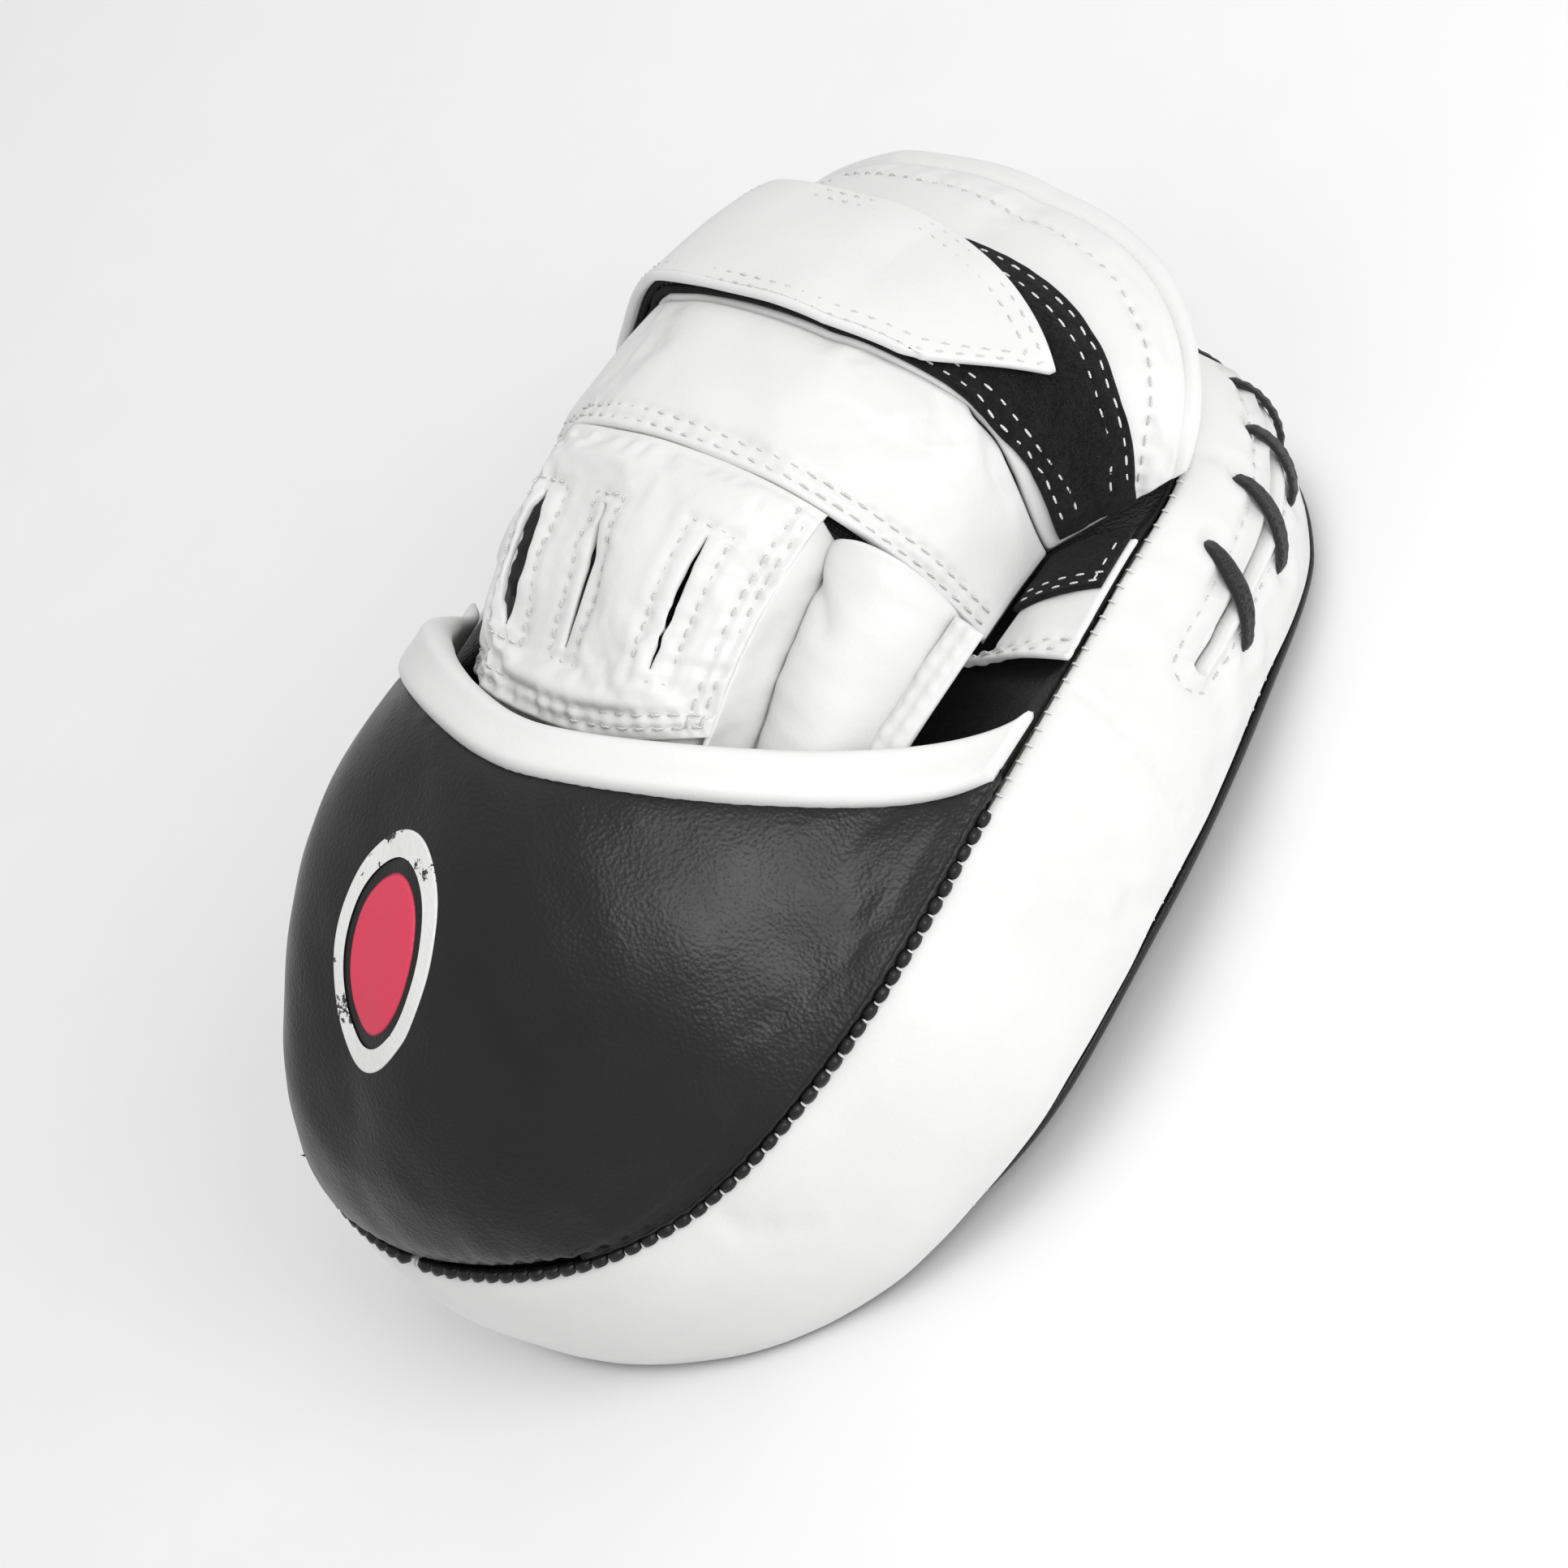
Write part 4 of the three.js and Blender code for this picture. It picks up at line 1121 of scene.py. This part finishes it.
def build_strap():
    base = strap_sheet(0)
    low, high = 4.35, 6.55
    rows = [row_round(base, inset, 0.03, high) for inset in (2.3, 5.0)]
    strap = skin("strap_leather", ["strap", "strap_anchor"], None, base,
                 lines(0, 1, 240, crowd=0.3), lines(0, 1, 50, crowd=0.5), high, low, WHITE,
                 reliefs=(grooved(rows, depth=0.45), waves(30, 0.3, 27)), body=None)
    sewn = sew("stitches_strap", rows, 2.6, 0.27, -0.05, body=None)
    hook = skin("strap_hook_tape", ["strap_hook"], None, strap_sheet(0.1), lines(0.17, 1, 200),
                lines(0, 1, 30), 4.2, 2.75, HOOK, reliefs=(waves(2.5, 0.1, 29),), body=None)
    root, tip = (metres(base(np.array(a), np.array(0.5))) for a in (0.12, 0.2))
    for piece in (strap, sewn, hook):
        tuple(root)
        tuple(tip)
        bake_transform(piece)
    skin("strap_keeper_leather", ["strap_keeper"], 0.6, GLOVE, lines(-0.9, -0.6, 60),
         lines(0.66, 0.88, 24), 4.4, 0.5, BLACK, edge=1.4, reliefs=(waves(12, 0.3, 31),))


def arch_share(x):
    power = VENT_POWERS[1] if x < 0 else VENT_POWERS[0]
    return math.copysign(math.asin((abs(x) / SHELL_W) ** (power / 2)) / (math.pi / 2), x)


def slot_warp(slots):
    """Closes each straight slot towards its ends, so that it opens like a buttonhole."""
    def warp(a, b):
        moved = np.array(a, float)
        for low, high, start, end, open_share in slots:
            middle, half = (low + high) / 2, (high - low) / 2
            along = np.clip((b - start) / (end - start), 0, 1)
            width = open_share * np.sin(np.pi * np.clip(along, 0.02, 0.98)) ** 0.8
            beyond = np.maximum(0, np.maximum(start - b, b - end)) / (end - start)
            pull = half * (1 - width) * np.exp(-((beyond / 0.15) ** 2))
            away = a - middle
            near = np.exp(-(np.maximum(0, np.abs(away) - half) / (3 * half)) ** 2)
            moved = moved - np.clip(away / half, -1, 1) * pull * near
        return moved, b

    return warp


def slot_border(surface, slot, out):
    """Stitched rectangle round one slot."""
    low, high, start, end, _ = slot
    da, db = (float(share_of(surface, (low + high) / 2, 0.5, out, axis)) for axis in (0, 1))
    corners = [(low - da, start - db), (high + da, start - db), (high + da, end + db),
               (low - da, end + db), (low - da, start - db)]
    a, b = (
        np.concatenate([np.linspace(p[k], q[k], 40) for p, q in zip(corners, corners[1:])])
        for k in (0, 1)
    )
    return trace(surface, a, b)


def build_vent_panel():
    slots = [(arch_share(x - 1.7), arch_share(x + 1.7), *VENT_SLOT_V, opened)
             for x, opened in zip(VENT_SLOTS_X, VENT_SLOTS_OPEN)]
    edges = rows_by(VENT, 1, 0, np.linspace(-0.61, 0.585, 300), (2.4, 5.2))
    edges += rows_by(VENT, 0, 0.6, np.linspace(0.03, 0.98, 120), (-2.4, -5.2))
    borders = [slot_border(VENT, slot, 2.6) for slot in slots]
    stops = [x for slot in slots for x in slot[:2]]
    panel = skin("vent_panel_leather", ["vent_panel"], None, VENT,
                 lines(-0.62, 0.6, 200, crowd=0.3, stops=stops, fine=0.004),
                 lines(0, 1.02, 76, crowd=0.4, stops=VENT_SLOT_V, fine=0.012), 0, -1.8, WHITE,
                 reliefs=(grooved(edges + borders, depth=0.5), waves(18, 0.7, 33)),
                 cuts=[slot[:4] for slot in slots], warp=slot_warp(slots))
    sew("stitches_vent_edges", edges, 2.5, 0.26, -0.2)
    sew("stitches_vent_slots", borders, 2.0, 0.24, -0.15, pitch=3.2)


def build_stalls():
    for number, finger in enumerate(FINGERS, 1):
        skin(f"finger_stall_{number}_leather", [f"finger_stall_{number}"], 0.3,
             finger_stall(finger), even(60), lines(0.002, 1, 70), 0, -1.5, WHITE, closed=True,
             reliefs=(waves(13, 0.5, 40 + number), waves(5, 0.12, 50 + number)))
    seam = trace(thumb, np.full(120, 0.63), np.linspace(0.12, 0.98, 120))
    crease = trace(thumb, np.linspace(0.6, 0.78, 60), np.linspace(0.97, 0.72, 60))
    skin("thumb_stall_leather", ["thumb_stall"], 0.3, thumb, even(150), lines(0.002, 1, 100), 0,
         -1.5, WHITE, closed=True,
         reliefs=(grooved([seam], depth=-1.1, width=0.9, pucker=0.35),
                       grooved([crease], depth=0.8, width=2.2, pucker=0),
                       waves(24, 0.7, 61), waves(7, 0.12, 62)))
    rows = rows_by(thumb_edge, 1, 0, np.linspace(0.02, 0.98, 120), (2.2, 5.2))
    skin("thumb_edge_leather", [], 0.2, thumb_edge, lines(0, 1, 110), lines(0, 1, 24), 0.9, -0.9,
         WHITE, reliefs=(grooved(rows), waves(15, 0.5, 63)))
    sew("stitches_thumb_edge", rows, 2.4, 0.26, 0.75)
    skin("thumb_web_leather", [], 0.2, thumb_web, lines(0, 1, 50), lines(0, 1, 70), 0.7, -0.7,
         WHITE, reliefs=(waves(16, 0.7, 65), waves(6, 0.12, 66)))


def build_grip():
    shape = leaf("palm_grip_leather", grip, even(80), lines(0, 1, 24, crowd=0.3), 0, grip_depth,
                 BLACK, closed=True, edge=0.5)
    inflate(shape, 2.5)
    own(shape, "palm_grip", fill=0.85)


# ---- set
def build_camera():
    turn, tilt, roll = (math.radians(x) for x in (50.52, 15.21, 59.21))
    view = np.array([math.sin(turn) * math.cos(tilt), -math.sin(tilt),
                     math.cos(turn) * math.cos(tilt)])
    flat = unit(np.array([0, 1, 0]) - view[1] * view)
    other = np.cross(flat, view)
    right = math.cos(roll) * flat + math.sin(roll) * other
    up = math.sin(roll) * flat - math.cos(roll) * other
    place = metres(np.array([0, 0, 62]) + 1050 * view + 27.13 * right - 7.36 * up)
    data = bpy.data.cameras.new("camera")
    data.lens = 117.2
    data.sensor_width = 36
    camera = bpy.data.objects.new("camera", data)
    columns = np.eye(4)
    columns[:3, 0], columns[:3, 1], columns[:3, 2], columns[:3, 3] = right, up, view, place
    camera.matrix_world = Matrix(columns.tolist())
    bpy.context.scene.collection.objects.link(camera)
    bpy.context.scene.camera = camera
    return right, up, view


def build_floor():
    look = Look("floor_paper", grey(0.97), 0.9, specular=0.1)
    look.ramp(look.texture("Noise", 40, Detail=3.0), (0.3, grey(0.965)), (0.7, grey(0.975)))
    corners = np.array([[x, y, -0.3] for x, y in ((-1, -1), (1, -1), (1, 1), (-1, 1))])
    floor = add_mesh("floor", corners * (4000, 4000, 1), np.array([[0, 1, 2, 3]]), look.material)


def add_light(name, place, size, power, target=(0, -10, 60)):
    data = bpy.data.lights.new(name, "AREA")
    data.shape = "DISK"
    data.size = size
    data.energy = power
    light = bpy.data.objects.new(name, data)
    spot = Vector(metres(np.array(place, float)).tolist())
    aim = Vector(metres(np.array(target, float)).tolist()) - spot
    light.location = spot
    light.rotation_mode = "QUATERNION"
    light.rotation_quaternion = aim.to_track_quat("-Z", "Y")
    bpy.context.scene.collection.objects.link(light)


def build_lights(right, up, view):
    world = bpy.data.worlds.new("studio")
    world.use_nodes = True
    background = world.node_tree.nodes["Background"]
    background.inputs["Color"].default_value = (1, 1, 1, 1)
    background.inputs["Strength"].default_value = 0.7
    bpy.context.scene.world = world
    add_light("key", 950 * (view * 0.93 + up * 0.22 + right * 0.24), 0.5, 3.6)
    add_light("top", 900 * (view * 0.4 + up * 0.85 - right * 0.35), 0.9, 1.0)
    bpy.context.scene.view_settings.view_transform = "Standard"


axes = build_camera()
build_floor()
build_lights(*axes)
GUSSET = settled(gusset, (0, 1), (0, 1), (150, 10), pressure=3, slack=0.004, cap=2.2, closed=True)
HOOD = settled(hood, (-0.94, 0.94), (0.14, 1), (60, 30), pressure=1.5, slack=0.001, cap=2)
GLOVE = settled(glove, (-1, 1), (0, 2.02), (60, 44), pressure=1, slack=0.008, cap=1.6)
VENT = settled(vent, (-0.62, 0.6), (0, 1), (60, 26), pressure=0.3, slack=0.03, cap=2.2)
build_pad()
build_gusset()
build_hood()
build_shell()
build_flanges()
build_loop_tape()
build_strap()
build_vent_panel()
build_stalls()
build_grip()
